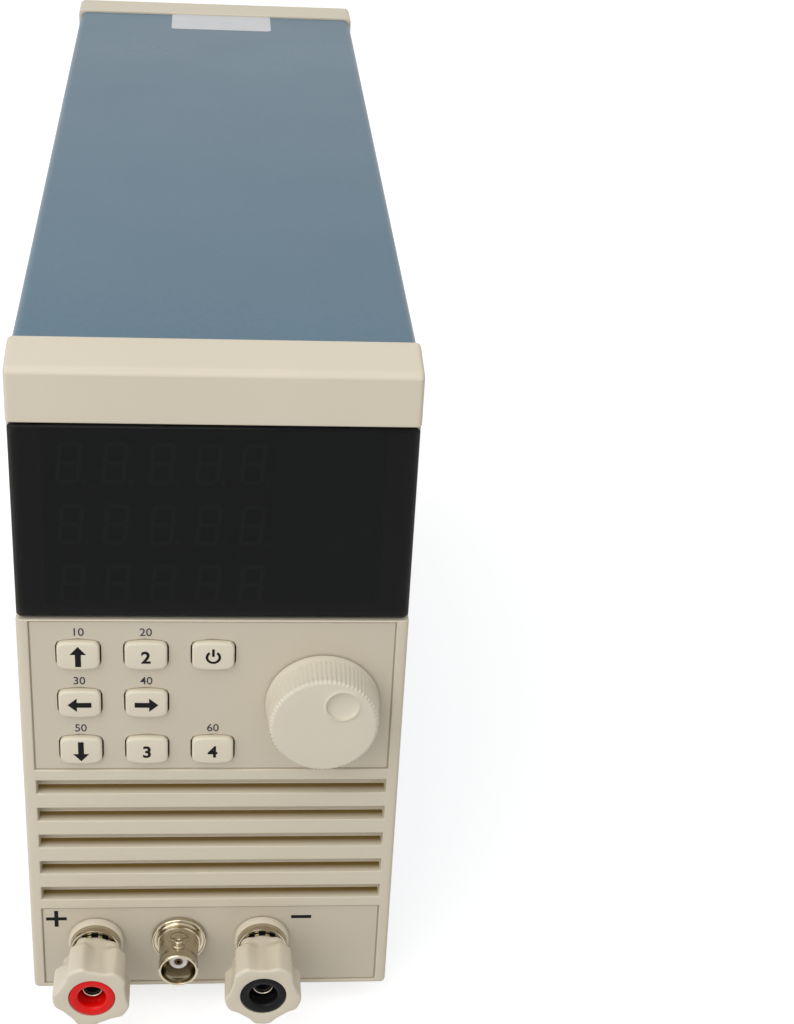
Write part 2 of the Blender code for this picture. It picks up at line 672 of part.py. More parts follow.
def build_front_bezel():
    """The moulded front: brow, window seat, plate seats, louvres, spigot and board bosses."""
    brow = BEZEL_HEIGHT - BROW_DROP
    outline = [
        (0, SILL_CHAMFER), (SILL_CHAMFER, 0), (BEZEL_DEPTH + BEZEL_WALL, 0),
        (BEZEL_DEPTH + BEZEL_WALL, BEZEL_HEIGHT), (BEZEL_DEPTH, BEZEL_HEIGHT),
        (EDGE_CHAMFER, brow), (0, brow - EDGE_CHAMFER),
    ]
    bezel = plate(
        "front_bezel", "beige_abs", [outline], BEZEL_WIDTH, (0, depth(0), level(0)), ALONG_WIDTH
    )
    round_edges(bezel, CORNER_RADIUS, 2)
    cut(
        bezel,
        block(
            "front_trim", None,
            (-BEZEL_WIDTH, BEZEL_DEPTH, -OVERCUT),
            (BEZEL_WIDTH, BEZEL_DEPTH + 2 * BEZEL_WALL, BEZEL_HEIGHT + OVERCUT),
        ),
        block(
            "front_hollow", None,
            (-HALF_WIDTH + BEZEL_WALL, FACE_WALL, BEZEL_WALL),
            (HALF_WIDTH - BEZEL_WALL, BEZEL_DEPTH + OVERCUT, BEZEL_HEIGHT - BROW_DROP - BEZEL_WALL),
        ),
    )
    fuse(bezel, bezel_spigot("front_spigot", BEZEL_DEPTH - SPIGOT_WALL, BEZEL_DEPTH + SPIGOT_REACH))
    for side in (-1, 1):
        for index, boss_level in enumerate((BOSS_LOW_LEVEL, BOSS_TOP_LEVEL)):
            reach = FRONT_BOARD_DEPTH - FIT - FACE_WALL + BITE
            centre = (
                side * (HALF_WIDTH - BOSS_INSET_X),
                depth(FACE_WALL - BITE + reach / 2),
                level(boss_level),
            )
            name = f"board_boss_{index}_{side}"
            fuse(bezel, drum(name, None, BOSS_RADIUS, reach, centre, TOWARDS_FRONT, 12))
    for index in range(SLOT_COUNT):
        fuse(bezel, louvre_blade(index))
    window_seat = WINDOW_THICKNESS + FIT
    plate_seat = PLATE_SET_BACK + PLATE_THICKNESS + FIT
    seat_half = HALF_WIDTH - PLATE_MARGIN
    middle = (WINDOW_LOW + WINDOW_HIGH) / 2
    cut(
        bezel,
        block(
            "window_seat", None,
            (-BEZEL_WIDTH, -OVERCUT, WINDOW_LOW - FIT),
            (BEZEL_WIDTH, window_seat, WINDOW_HIGH + FIT),
        ),
        block(
            "display_aperture", None,
            (-APERTURE_WIDTH / 2, -OVERCUT, middle - APERTURE_HEIGHT / 2),
            (APERTURE_WIDTH / 2, FACE_WALL + OVERCUT, middle + APERTURE_HEIGHT / 2),
        ),
        block(
            "control_seat", None,
            (-seat_half, -OVERCUT, CONTROL_LOW), (seat_half, plate_seat, CONTROL_HIGH),
        ),
        block(
            "terminal_seat", None,
            (-seat_half, -OVERCUT, TERMINAL_LOW), (seat_half, plate_seat, TERMINAL_HIGH),
        ),
    )
    slot_half = HALF_WIDTH - SLOT_MARGIN
    for index in range(SLOT_COUNT):
        top = SLOT_TOP - index * SLOT_PITCH
        cut(
            bezel,
            block(
                f"air_slot_{index}", None,
                (-slot_half, -OVERCUT, top - SLOT_HEIGHT),
                (slot_half, FACE_WALL - BITE, top),
            ),
        )
    for name, (column, row) in KEYS.items():
        x, key_level = key_centre(column, row)
        location = (x, depth(FACE_WALL / 2), level(key_level))
        cut(bezel, plate(name + "_hole", None, [key_outline(KEY_GAP)], 2 * FACE_WALL, location))
    holes = {
        "bushing_hole": (KNOB_X, KNOB_LEVEL, BUSHING_RADIUS + HOLE_CLEARANCE),
        "positive_hole": (POST_POSITIVE_X, TERMINAL_LEVEL, STUD_RADIUS + HOLE_CLEARANCE),
        "negative_hole": (POST_NEGATIVE_X, TERMINAL_LEVEL, STUD_RADIUS + HOLE_CLEARANCE),
        "coax_hole": (COAX_X, TERMINAL_LEVEL, COAX_THREAD_RADIUS + HOLE_CLEARANCE),
    }
    for name, (x, hole_level, radius) in holes.items():
        location = (x, depth(FACE_WALL / 2), level(hole_level))
        cut(bezel, drum(name, None, radius, 2 * FACE_WALL, location, TOWARDS_FRONT))


def louvre_blade(index):
    """A blade that climbs from the sill behind one air slot, as a guide to be fused on."""
    slot_half = HALF_WIDTH - SLOT_MARGIN + BITE
    sill = SLOT_TOP - SLOT_HEIGHT - index * SLOT_PITCH
    run = BLADE_LENGTH * math.cos(BLADE_ANGLE)
    rise = BLADE_LENGTH * math.sin(BLADE_ANGLE)
    root = FACE_WALL - 2 * BITE
    outline = [
        (root, sill - BLADE_THICKNESS), (root + 3 * BITE, sill - BLADE_THICKNESS),
        (root + run, sill + rise - BLADE_THICKNESS), (root + run, sill + rise),
        (root + BITE, sill), (root, sill),
    ]
    return plate(
        f"blade_{index}", None, [outline], 2 * slot_half, (0, depth(0), level(0)), ALONG_WIDTH
    )


def build_window():
    """The smoked window, nearly as wide as the front."""
    half = HALF_WIDTH - WINDOW_SIDE_INSET
    window = block(
        "display_window", "smoked_acrylic",
        (-half, 0, WINDOW_LOW), (half, WINDOW_THICKNESS, WINDOW_HIGH),
    )
    round_edges(window, WINDOW_CHAMFER)


def build_plates():
    """The two thin plates let into the front, with holes that follow what passes through."""
    width = BEZEL_WIDTH - 2 * PLATE_MARGIN - 2 * FIT
    plate_depth = depth(PLATE_SET_BACK + PLATE_THICKNESS / 2)
    middle = (CONTROL_LOW + CONTROL_HIGH) / 2
    outlines = [rectangle(width, CONTROL_HIGH - CONTROL_LOW - 2 * FIT)]
    for column, row in KEYS.values():
        x, key_level = key_centre(column, row)
        outlines.append(key_outline(KEY_GAP, x, key_level - middle))
    knob_hole = BUSHING_RADIUS + HOLE_CLEARANCE
    outlines.append(circle(knob_hole, 24, KNOB_X, KNOB_LEVEL - middle))
    location = (0, plate_depth, level(middle))
    plate("control_plate", "silver_beige_plate", outlines, PLATE_THICKNESS, location)
    middle = (TERMINAL_LOW + TERMINAL_HIGH) / 2
    outlines = [rectangle(width, TERMINAL_HIGH - TERMINAL_LOW - 2 * FIT)]
    holes = (
        (POST_POSITIVE_X, STUD_RADIUS), (COAX_X, COAX_THREAD_RADIUS), (POST_NEGATIVE_X, STUD_RADIUS),
    )
    for x, radius in holes:
        outlines.append(circle(radius + HOLE_CLEARANCE, 24, x, TERMINAL_LEVEL - middle))
    location = (0, plate_depth, level(middle))
    plate("terminal_plate", "silver_beige_plate", outlines, PLATE_THICKNESS, location)


def build_keys():
    """Eight key caps, each with a flange that holds it behind the front wall."""
    back = FACE_WALL + FIT
    for name, (column, row) in KEYS.items():
        x, key_level = key_centre(column, row)
        length = KEY_PROUD + back + KEY_FLANGE_THICKNESS
        location = (x, depth(-KEY_PROUD), level(key_level))
        small = [(px * (1 - 2 * KEY_EDGE / KEY_WIDTH), py * (1 - 2 * KEY_EDGE / KEY_HEIGHT))
                 for px, py in key_outline(0)]
        sections = [
            (0, small), (-KEY_EDGE, key_outline(0)), (-(KEY_PROUD + back), key_outline(0)),
            (-(KEY_PROUD + back), key_outline(KEY_FLANGE)), (-length, key_outline(KEY_FLANGE)),
        ]
        loft(name, "beige_abs", sections, location)


def build_front_board():
    """The board behind the front, its eight push switches and the three display blocks."""
    board_half = HALF_WIDTH - BEZEL_WALL - SPIGOT_WALL - FIT
    board = block(
        "front_board", "green_board",
        (-board_half, FRONT_BOARD_DEPTH, FRONT_BOARD_LOW),
        (board_half, FRONT_BOARD_DEPTH + BOARD_THICKNESS, FRONT_BOARD_HIGH),
    )
    key_back = FACE_WALL + FIT + KEY_FLANGE_THICKNESS
    plunger_top = key_back + KEY_TRAVEL + FIT
    for name, (column, row) in KEYS.items():
        x, key_level = key_centre(column, row)
        half = SWITCH_SIDE / 2
        fuse(
            board,
            block(
                name + "_switch", None,
                (x - half, SWITCH_BOARD_TOP, key_level - half),
                (x + half, FRONT_BOARD_DEPTH + BITE, key_level + half),
            ),
            drum(
                name + "_plunger", None, PLUNGER_RADIUS, SWITCH_BOARD_TOP + BITE - plunger_top,
                (x, depth((plunger_top + SWITCH_BOARD_TOP + BITE) / 2), level(key_level)),
                TOWARDS_FRONT, 10,
            ),
        )
    for index, name in enumerate(("display_upper", "display_middle", "display_lower")):
        middle = DISPLAY_LEVEL + (1 - index) * DISPLAY_PITCH
        block(
            name, "black_plastic",
            (DISPLAY_X - DISPLAY_WIDTH / 2, FACE_WALL + FIT, middle - DISPLAY_HEIGHT / 2),
            (DISPLAY_X + DISPLAY_WIDTH / 2, FRONT_BOARD_DEPTH - FIT, middle + DISPLAY_HEIGHT / 2),
        )


def knob_outline(radius, tooth):
    """Outline of the knob's side, with a shallow tooth at every other point."""
    points = circle(radius, 2 * KNOB_TEETH)
    scale = 1 - tooth / radius
    return [(x * scale, y * scale) if index % 2 else (x, y)
            for index, (x, y) in enumerate(points)]


def build_encoder():
    """The encoder, its nut and shaft, and the knob with its finger dimple."""
    axis = (KNOB_X, depth(0), level(KNOB_LEVEL))
    half = ENCODER_SIDE / 2
    body_front = FACE_WALL + FIT
    encoder = block(
        "encoder", "black_plastic",
        (KNOB_X - half, body_front, KNOB_LEVEL - half),
        (KNOB_X + half, FRONT_BOARD_DEPTH - FIT, KNOB_LEVEL + half),
    )
    bore = SHAFT_RADIUS + HOLE_CLEARANCE
    bushing = [
        (BUSHING_RADIUS, BUSHING_REACH), (BUSHING_RADIUS, -body_front - BITE),
        (bore, -body_front - BITE), (bore, BUSHING_REACH),
    ]
    fuse(encoder, turned("bushing", None, bushing, axis))
    shaft_back = FRONT_BOARD_DEPTH - 4 * FIT
    well = [(bore, OVERCUT), (bore, -shaft_back), (0, -shaft_back)]
    cut(encoder, turned("shaft_well", None, [(0, OVERCUT)] + well, axis))
    shaft = [
        (0, SHAFT_REACH), (SHAFT_RADIUS, SHAFT_REACH),
        (SHAFT_RADIUS, FIT - shaft_back), (0, FIT - shaft_back),
    ]
    turned("encoder_shaft", "nickel", shaft, axis, sides=20)
    nut_back = FIT - PLATE_SET_BACK
    nut_hole = BUSHING_RADIUS + FIT
    nut_middle = nut_back + ENCODER_NUT_THICKNESS / 2
    plate(
        "encoder_nut", "nickel",
        [circle(ENCODER_NUT_RADIUS, 6), circle(nut_hole, 18)],
        ENCODER_NUT_THICKNESS, (KNOB_X, depth(-nut_middle), level(KNOB_LEVEL)),
    )
    build_knob(axis)


def build_knob(axis):
    """The serrated knob, hollow behind, with a hub for the shaft."""
    back = FIT - PLATE_SET_BACK
    face = KNOB_FRONT_RADIUS - KNOB_CHAMFER
    sections = [
        (back, knob_outline(KNOB_RADIUS, 0)),
        (back + KNOB_SKIRT, knob_outline(KNOB_RADIUS - TOOTH_DEPTH / 2, 0)),
        (back + KNOB_SKIRT + TOOTH_DEPTH, knob_outline(KNOB_RADIUS - TOOTH_DEPTH, TOOTH_DEPTH)),
        (KNOB_REACH - KNOB_CHAMFER, knob_outline(KNOB_FRONT_RADIUS, TOOTH_DEPTH)),
        (KNOB_REACH, knob_outline(face, 0)),
    ]
    knob = loft("control_knob", "beige_abs", sections, axis)
    hub = SHAFT_RADIUS + FIT + KNOB_WALL
    inside = KNOB_FRONT_RADIUS - KNOB_WALL - TOOTH_DEPTH
    roof = KNOB_REACH - KNOB_WALL - DIMPLE_DEPTH
    hub_back = max(BUSHING_REACH, nut_reach()) + 2 * FIT
    hollow = [
        (0, hub_back), (hub, hub_back), (hub, roof), (inside, roof),
        (inside, -OVERCUT), (0, -OVERCUT),
    ]
    cut(
        knob,
        turned("knob_hollow", None, hollow, axis),
        turned(
            "knob_bore", None,
            [(0, SHAFT_REACH + FIT), (SHAFT_RADIUS + FIT, SHAFT_REACH + FIT),
             (SHAFT_RADIUS + FIT, 0), (0, 0)],
            axis, sides=20,
        ),
    )
    ball = (DIMPLE_RADIUS ** 2 + DIMPLE_DEPTH ** 2) / (2 * DIMPLE_DEPTH)
    sweep = math.asin(DIMPLE_RADIUS / ball)
    bowl = arc(ball, sweep - math.pi / 2, -math.pi / 2, 3, 0, KNOB_REACH - DIMPLE_DEPTH + ball)
    centre = (
        axis[0] + DIMPLE_OFFSET * math.cos(DIMPLE_ANGLE),
        axis[1],
        axis[2] + DIMPLE_OFFSET * math.sin(DIMPLE_ANGLE),
    )
    top = KNOB_REACH + OVERCUT
    cut(knob, turned("knob_dimple", None, [(0, top), (DIMPLE_RADIUS, top)] + bowl, centre, sides=20))


def nut_reach():
    """How far the encoder's nut stands in front of the face."""
    return FIT - PLATE_SET_BACK + ENCODER_NUT_THICKNESS


def cap_outline(radius, flute):
    """Outline of a binding post cap: flat lobes between shallow hollows."""
    points = []
    for index in range(CAP_LOBES):
        middle = 2 * math.pi * (index + 0.5) / CAP_LOBES
        corners = (
            (-CAP_HOLLOW, flute), (-CAP_CREST, 0), (CAP_CREST, 0), (CAP_HOLLOW, flute),
        )
        for offset, drop in corners:
            angle = middle + offset * 2 * math.pi / CAP_LOBES
            points.append(((radius - drop) * math.cos(angle), (radius - drop) * math.sin(angle)))
    return points


def build_post(side, x, insert_look):
    """One binding post: washer, stud with its socket, fluted cap, coloured insert and nut."""
    axis = (x, depth(0), level(TERMINAL_LEVEL))
    seat = FIT - PLATE_SET_BACK
    washer_top = seat + WASHER_THICKNESS
    washer_bore = STUD_RADIUS + FIT
    turned(
        side + "_washer", "beige_abs",
        ring_profile(WASHER_RADIUS, washer_bore, seat, washer_top, FIT), axis,
    )
    collar_low = washer_top + FIT
    collar_high = collar_low + COLLAR_THICKNESS
    crown_high = collar_high + CROWN_THICKNESS
    stud_front = POST_REACH - STUD_RECESS
    socket_floor = stud_front - SOCKET_DEPTH
    stud = [
        (0, socket_floor), (STUD_BORE, socket_floor), (STUD_BORE, stud_front),
        (STUD_RADIUS, stud_front), (STUD_RADIUS, crown_high), (CROWN_RADIUS, crown_high),
        (CROWN_RADIUS, collar_high), (COLLAR_RADIUS, collar_high), (COLLAR_RADIUS, collar_low),
        (STUD_RADIUS, collar_low), (STUD_RADIUS, -STUD_INSIDE), (0, -STUD_INSIDE),
    ]
    turned(side + "_stud", "nickel", stud, axis, sides=20)
    cap_back = crown_high + FIT
    rim_back = POST_REACH - CAP_RIM
    sections = [
        (cap_back, cap_outline(CAP_REAR_RADIUS - CAP_EDGE, 0)),
        (cap_back + CAP_EDGE, cap_outline(CAP_REAR_RADIUS, CAP_FLUTE)),
        (rim_back - CAP_SHOULDER, cap_outline(CAP_REAR_RADIUS, CAP_FLUTE)),
        (rim_back, cap_outline(CAP_FRONT_RADIUS - CAP_EDGE / 2, CAP_FLUTE)),
        (POST_REACH - CAP_EDGE, cap_outline(CAP_FRONT_RADIUS, CAP_FLUTE)),
        (POST_REACH, cap_outline(CAP_FRONT_RADIUS - CAP_EDGE, CAP_FLUTE)),
    ]
    cap = loft(side + "_cap", "beige_abs", sections, axis)
    insert_seat = POST_REACH - INSERT_LENGTH - FIT
    bore = [
        (0, POST_REACH + OVERCUT), (INSERT_RADIUS + FIT, POST_REACH + OVERCUT),
        (INSERT_RADIUS + FIT, insert_seat), (STUD_RADIUS + FIT, insert_seat),
        (STUD_RADIUS + FIT, cap_back - OVERCUT), (0, cap_back - OVERCUT),
    ]
    cut(cap, turned(side + "_cap_bore", None, bore, axis))
    insert = ring_profile(
        INSERT_RADIUS, INSERT_BORE, POST_REACH - INSERT_LENGTH, POST_REACH, FIT
    )
    turned(side + "_insert", insert_look, insert, axis)
    bar_back = FACE_WALL + FIT + BAR_THICKNESS
    nut_middle = bar_back + FIT + POST_NUT_THICKNESS / 2
    plate(
        side + "_nut", "nickel",
        [circle(POST_NUT_RADIUS, 6), circle(STUD_RADIUS + FIT, 18)],
        POST_NUT_THICKNESS, (x, depth(nut_middle), level(TERMINAL_LEVEL)),
    )


def build_coax():
    """The coaxial socket: bayonet shell, insulator, centre contact and nut."""
    axis = (COAX_X, depth(0), level(TERMINAL_LEVEL))
    seat = FIT - PLATE_SET_BACK
    flange = seat + COAX_FLANGE_THICKNESS
    step = flange + COAX_STEP_THICKNESS
    insulator_back = COAX_FLOOR - COAX_INSIDE
    well = INSULATOR_RADIUS + FIT
    shell = [
        (COAX_BORE, COAX_REACH), (COAX_RADIUS, COAX_REACH), (COAX_RADIUS, step + FIT),
        (COAX_STEP_RADIUS, step), (COAX_STEP_RADIUS, flange), (COAX_FLANGE_RADIUS - FIT, flange),
        (COAX_FLANGE_RADIUS, flange - FIT), (COAX_FLANGE_RADIUS, seat), (COAX_THREAD_RADIUS, seat),
        (COAX_THREAD_RADIUS, -COAX_INSIDE), (well, -COAX_INSIDE), (well, COAX_FLOOR),
        (COAX_BORE, COAX_FLOOR),
    ]
    body = turned("coax_shell", "nickel", shell, axis)
    lug_length = COAX_RADIUS - COAX_BORE + LUG_PROUD - BITE / 2
    for side in (-1, 1):
        reach = COAX_BORE + BITE / 2 + lug_length / 2
        location = (axis[0], depth(-LUG_REACH), axis[2] + side * reach)
        fuse(body, drum(f"coax_lug_{side}", None, LUG_RADIUS, lug_length, location, UPRIGHT, 12))
    contact_hole = CONTACT_RADIUS + FIT
    front = COAX_REACH - INSULATOR_RECESS
    turned(
        "coax_insulator", "white_insulator",
        ring_profile(INSULATOR_RADIUS, contact_hole, insulator_back, front), axis, sides=20,
    )
    contact = [
        (0, 0), (CONTACT_BORE, 0), (CONTACT_BORE, front), (CONTACT_RADIUS, front),
        (CONTACT_RADIUS, -CONTACT_TAIL), (0, -CONTACT_TAIL),
    ]
    turned("coax_contact", "gold", contact, axis, sides=12)
    nut_middle = FACE_WALL + FIT + COAX_NUT_THICKNESS / 2
    plate(
        "coax_nut", "nickel",
        [circle(COAX_NUT_RADIUS, 6), circle(COAX_THREAD_RADIUS + FIT, 18)],
        COAX_NUT_THICKNESS, (COAX_X, depth(nut_middle), level(TERMINAL_LEVEL)),
    )


def channel_outline(half, top, foot, thickness):
    """Cross-section of a sheet bent down on both sides, with round bends."""
    inner = max(BEND_RADIUS - thickness, 0)
    right = arc(BEND_RADIUS, 0, math.pi / 2, BEND_STEPS, half - BEND_RADIUS, top - BEND_RADIUS)
    outer = [(half, foot)] + right + [(-x, y) for x, y in reversed(right)] + [(-half, foot)]
    bend = arc(inner, 0, math.pi / 2, BEND_STEPS, half - BEND_RADIUS, top - BEND_RADIUS)
    back = [(half - thickness, foot)] + bend + [(-x, y) for x, y in reversed(bend)]
    return outer + [(thickness - half, foot)] + list(reversed(back[1:])) + [back[0]]


def build_case():
    """The painted cover, bent from one sheet, and the bottom pan that it closes on."""
    length = COVER_END - COVER_START
    middle = depth((COVER_START + COVER_END) / 2)
    cover = plate(
        "case_cover", "blue_paint",
        [channel_outline(COVER_HALF, COVER_TOP, COVER_INSET, SHEET)],
        length, (0, middle, level(0)),
    )
    for index in range(VENT_COUNT):
        start = COVER_END - VENT_FROM_REAR - VENT_LENGTH
        vent_level = VENT_LEVEL + index * VENT_PITCH
        radius = VENT_HEIGHT / 2
        right = arc(radius, -math.pi / 2, math.pi / 2, 3, VENT_LENGTH / 2 - radius)
        outline = right + [(-x, -y) for x, y in right]
        location = (0, depth(start + VENT_LENGTH / 2), level(vent_level))
        cut(cover, plate(f"vent_{index}", None, [outline], 2 * BEZEL_WIDTH, location, ALONG_WIDTH))
    pan_half = COVER_INNER_HALF - FIT
    upside_down = [(x, -y) for x, y in channel_outline(pan_half, 0, -PAN_LIP, SHEET)]
    pan = plate(
        "bottom_pan", "blue_paint", [upside_down], length, (0, middle, level(COVER_INSET)),
    )
    for name, low, high in (
        ("front", COVER_START - OVERCUT, BEZEL_DEPTH + SPIGOT_REACH + FIT),
        ("rear", COVER_END - SPIGOT_REACH - FIT, COVER_END + OVERCUT),
    ):
        cut(
            pan,
            block(
                f"pan_{name}_notch", None,
                (-BEZEL_WIDTH, low, PAN_TOP), (BEZEL_WIDTH, high, PAN_TOP + PAN_LIP),
            ),
        )


def build_feet():
    """Four rubber feet under the pan."""
    top = COVER_INSET - FIT
    profile = [
        (0, top), (FOOT_TOP_RADIUS, top), (FOOT_RADIUS, -FOOT_HEIGHT + FIT),
        (FOOT_RADIUS - FIT, -FOOT_HEIGHT), (0, -FOOT_HEIGHT),
    ]
    for x_name, side in (("left", -1), ("right", 1)):
        for y_name, distance in (("front", FOOT_INSET_Y), ("rear", CASE_DEPTH - FOOT_INSET_Y)):
            location = (side * (HALF_WIDTH - FOOT_INSET_X), depth(distance), level(0))
            turned(f"foot_{y_name}_{x_name}", "black_rubber", profile, location, UPRIGHT, 16)


def build_rear():
    """The rear bezel and the steel panel held against its rim."""
    start = CASE_DEPTH - REAR_BEZEL_DEPTH
    bezel = block(
        "rear_bezel", "beige_abs",
        (-HALF_WIDTH, start - BEZEL_WALL, 0), (HALF_WIDTH, CASE_DEPTH, BEZEL_HEIGHT),
    )
    round_edges(bezel, CORNER_RADIUS, 2)
    cut(
        bezel,
        block(
            "rear_trim", None,
            (-BEZEL_WIDTH, start - 2 * BEZEL_WALL, -OVERCUT),
            (BEZEL_WIDTH, start, BEZEL_HEIGHT + OVERCUT),
        ),
        block(
            "rear_hollow", None,
            (-HALF_WIDTH + BEZEL_WALL, start - OVERCUT, BEZEL_WALL),
            (HALF_WIDTH - BEZEL_WALL, CASE_DEPTH - REAR_RIM, BEZEL_HEIGHT - BEZEL_WALL),
        ),
        block(
            "rear_opening", None,
            (-HALF_WIDTH + REAR_BORDER, start, REAR_BORDER),
            (HALF_WIDTH - REAR_BORDER, CASE_DEPTH + OVERCUT, BEZEL_HEIGHT - REAR_BORDER),
        ),
    )
    fuse(bezel, bezel_spigot("rear_spigot", start - SPIGOT_REACH, start + SPIGOT_WALL))
    half = HALF_WIDTH - BEZEL_WALL - FIT
    middle = BEZEL_HEIGHT / 2
    holes = [
        circle(FAN_BORE, 32, 0, FAN_LEVEL - middle),
        rectangle(
            INLET_WIDTH + 2 * FIT, INLET_HEIGHT + 2 * FIT, INLET_X, INLET_LEVEL - middle
        ),
        rectangle(
            SWITCH_WIDTH + 2 * FIT, SWITCH_HEIGHT + 2 * FIT, SWITCH_X, SWITCH_LEVEL - middle
        ),
        rectangle(
            SELECTOR_WIDTH - 2 * SELECTOR_BORDER + 2 * FIT,
            SELECTOR_HEIGHT - 2 * SELECTOR_BORDER + 2 * FIT,
            SELECTOR_X, SELECTOR_LEVEL - middle,
        ),
        serial_outline(FIT, SERIAL_LEVEL - middle),
    ]
    mirrored = [[(-x, y) for x, y in outline] for outline in holes]
    plate(
        "rear_panel", "zinc_steel",
        [rectangle(2 * half, BEZEL_HEIGHT - 2 * BEZEL_WALL - 2 * FIT)] + mirrored,
        PANEL_THICKNESS,
        (0, depth((PANEL_INSIDE + PANEL_OUTSIDE) / 2), level(middle)), TOWARDS_REAR,
    )


def serial_outline(gap, y=0.0):
    """The D shape of the serial connector, widened all round by a gap."""
    top = SERIAL_WIDTH / 2 + gap
    low = top - SERIAL_TAPER
    half = SERIAL_HEIGHT / 2 + gap
    return [(-low, y - half), (low, y - half), (top, y + half), (-top, y + half)]


def build_fan():
    """The axial fan: a frame with its motor base, the bladed rotor, and the wire guard."""
    back = PANEL_INSIDE - FIT
    front = back - FAN_DEPTH
    half = FAN_SIDE / 2
    frame = block(
        "fan_frame", "black_plastic",
        (-half, front, FAN_LEVEL - half), (half, back, FAN_LEVEL + half),
    )
    axis = (0, depth(back), level(FAN_LEVEL))
    middle = (front + back) / 2
    cut(
        frame,
        drum(
            "fan_bore", None, FAN_BORE, FAN_DEPTH + OVERCUT,
            (0, depth(middle), level(FAN_LEVEL)), TOWARDS_REAR, 32,
        ),
    )
    for x_side in (-1, 1):
        for z_side in (-1, 1):
            outer = half + OVERCUT
            inner = half - FAN_NOTCH
            outline = [
                (x_side * outer, z_side * outer), (x_side * inner, z_side * outer),
                (x_side * outer, z_side * inner),
            ]
            location = (0, depth(middle), level(FAN_LEVEL))
            name = f"fan_notch_{x_side}_{z_side}"
            cut(frame, plate(name, None, [outline], FAN_DEPTH - 2 * FAN_FLANGE, location))
    base_profile = [
        (0, STATOR_HEIGHT), (STATOR_RADIUS, STATOR_HEIGHT), (STATOR_RADIUS, STRUT_THICKNESS),
        (FAN_HUB_RADIUS, STRUT_THICKNESS), (FAN_HUB_RADIUS, 0), (0, 0),
    ]
    fuse(frame, turned("motor_base", None, base_profile, axis, TOWARDS_FRONT))
    for name, width, height in (
        ("upright", STRUT_WIDTH, 2 * FAN_BORE + BITE), ("level", 2 * FAN_BORE + BITE, STRUT_WIDTH),
    ):
        low = (-width / 2, back - STRUT_THICKNESS + BITE / 2, FAN_LEVEL - height / 2)
        high = (width / 2, back - BITE / 2, FAN_LEVEL + height / 2)
        fuse(frame, block(f"fan_strut_{name}", None, low, high))
    build_rotor(front, back)
    build_guard()


def blade_section(radius, pitch, turn):
    """One ring of a blade: a cambered aerofoil wrapped round the axis at a radius."""
    half = BLADE_CHORD / 2
    profile = [
        (-half, 0), (0, -BLADE_CAMBER), (half, 0),
        (half, BLADE_SKIN), (0, BLADE_SKIN - BLADE_CAMBER), (-half, BLADE_SKIN),
    ]
    ring = []
    for along, across in profile:
        around = along * math.sin(pitch) - across * math.cos(pitch)
        reach = along * math.cos(pitch) + across * math.sin(pitch)
        angle = turn + around / radius
        ring.append(Vector((radius * math.cos(angle), radius * math.sin(angle), reach)))
    return ring


def build_rotor(front, back):
    """The rotor: a cup over the stator, with blades twisted from root to tip."""
    hub_back = STRUT_THICKNESS + 2 * FIT
    hub_front = FAN_DEPTH - 2 * FIT
    axis = (0, depth(back), level(FAN_LEVEL))
    cup_inside = FAN_HUB_RADIUS - FAN_HUB_WALL
    cup_floor = STATOR_HEIGHT + 2 * FIT
    cup = [
        (0, hub_front), (FAN_HUB_RADIUS, hub_front), (FAN_HUB_RADIUS, hub_back),
        (cup_inside, hub_back), (cup_inside, cup_floor), (0, cup_floor),
    ]
    rotor = turned("fan_rotor", "black_plastic", cup, axis)
    form = bmesh.new()
    middle = (hub_back + hub_front) / 2
    tip = FAN_BORE - FAN_TIP_GAP
    for index in range(FAN_BLADES):
        turn = 2 * math.pi * index / FAN_BLADES
        rings = []
        for radius, share in ((FAN_HUB_RADIUS - BITE, 0), ((FAN_HUB_RADIUS + tip) / 2, 0.5), (tip, 1)):
            pitch = BLADE_ROOT_PITCH + share * (BLADE_TIP_PITCH - BLADE_ROOT_PITCH)
            section = blade_section(radius, pitch, turn + share * BLADE_SWEEP)
            rings.append([form.verts.new(point + Vector((0, 0, middle))) for point in section])
        form.faces.new(rings[0])
        form.faces.new(rings[-1])
        for ring, following in zip(rings, rings[1:]):
            for corner in range(len(ring)):
                after = (corner + 1) % len(ring)
                form.faces.new((ring[corner], ring[after], following[after], following[corner]))
    bmesh.ops.recalc_face_normals(form, faces=form.faces)
    mesh = bpy.data.meshes.new("fan_blades")
    form.to_mesh(mesh)
    form.free()
    fuse(rotor, place("fan_blades", mesh, None, axis, TOWARDS_FRONT))


def wire_ring(name, look, radius, y, sides):
    """A ring of guard wire about the fan's axis."""
    profile = circle(GUARD_WIRE, 5, radius, 0, math.pi / 5)
    points = [(x, reach) for x, reach in reversed(profile)]
    return turned(name, look, points, (0, y, level(FAN_LEVEL)), TOWARDS_REAR, sides)


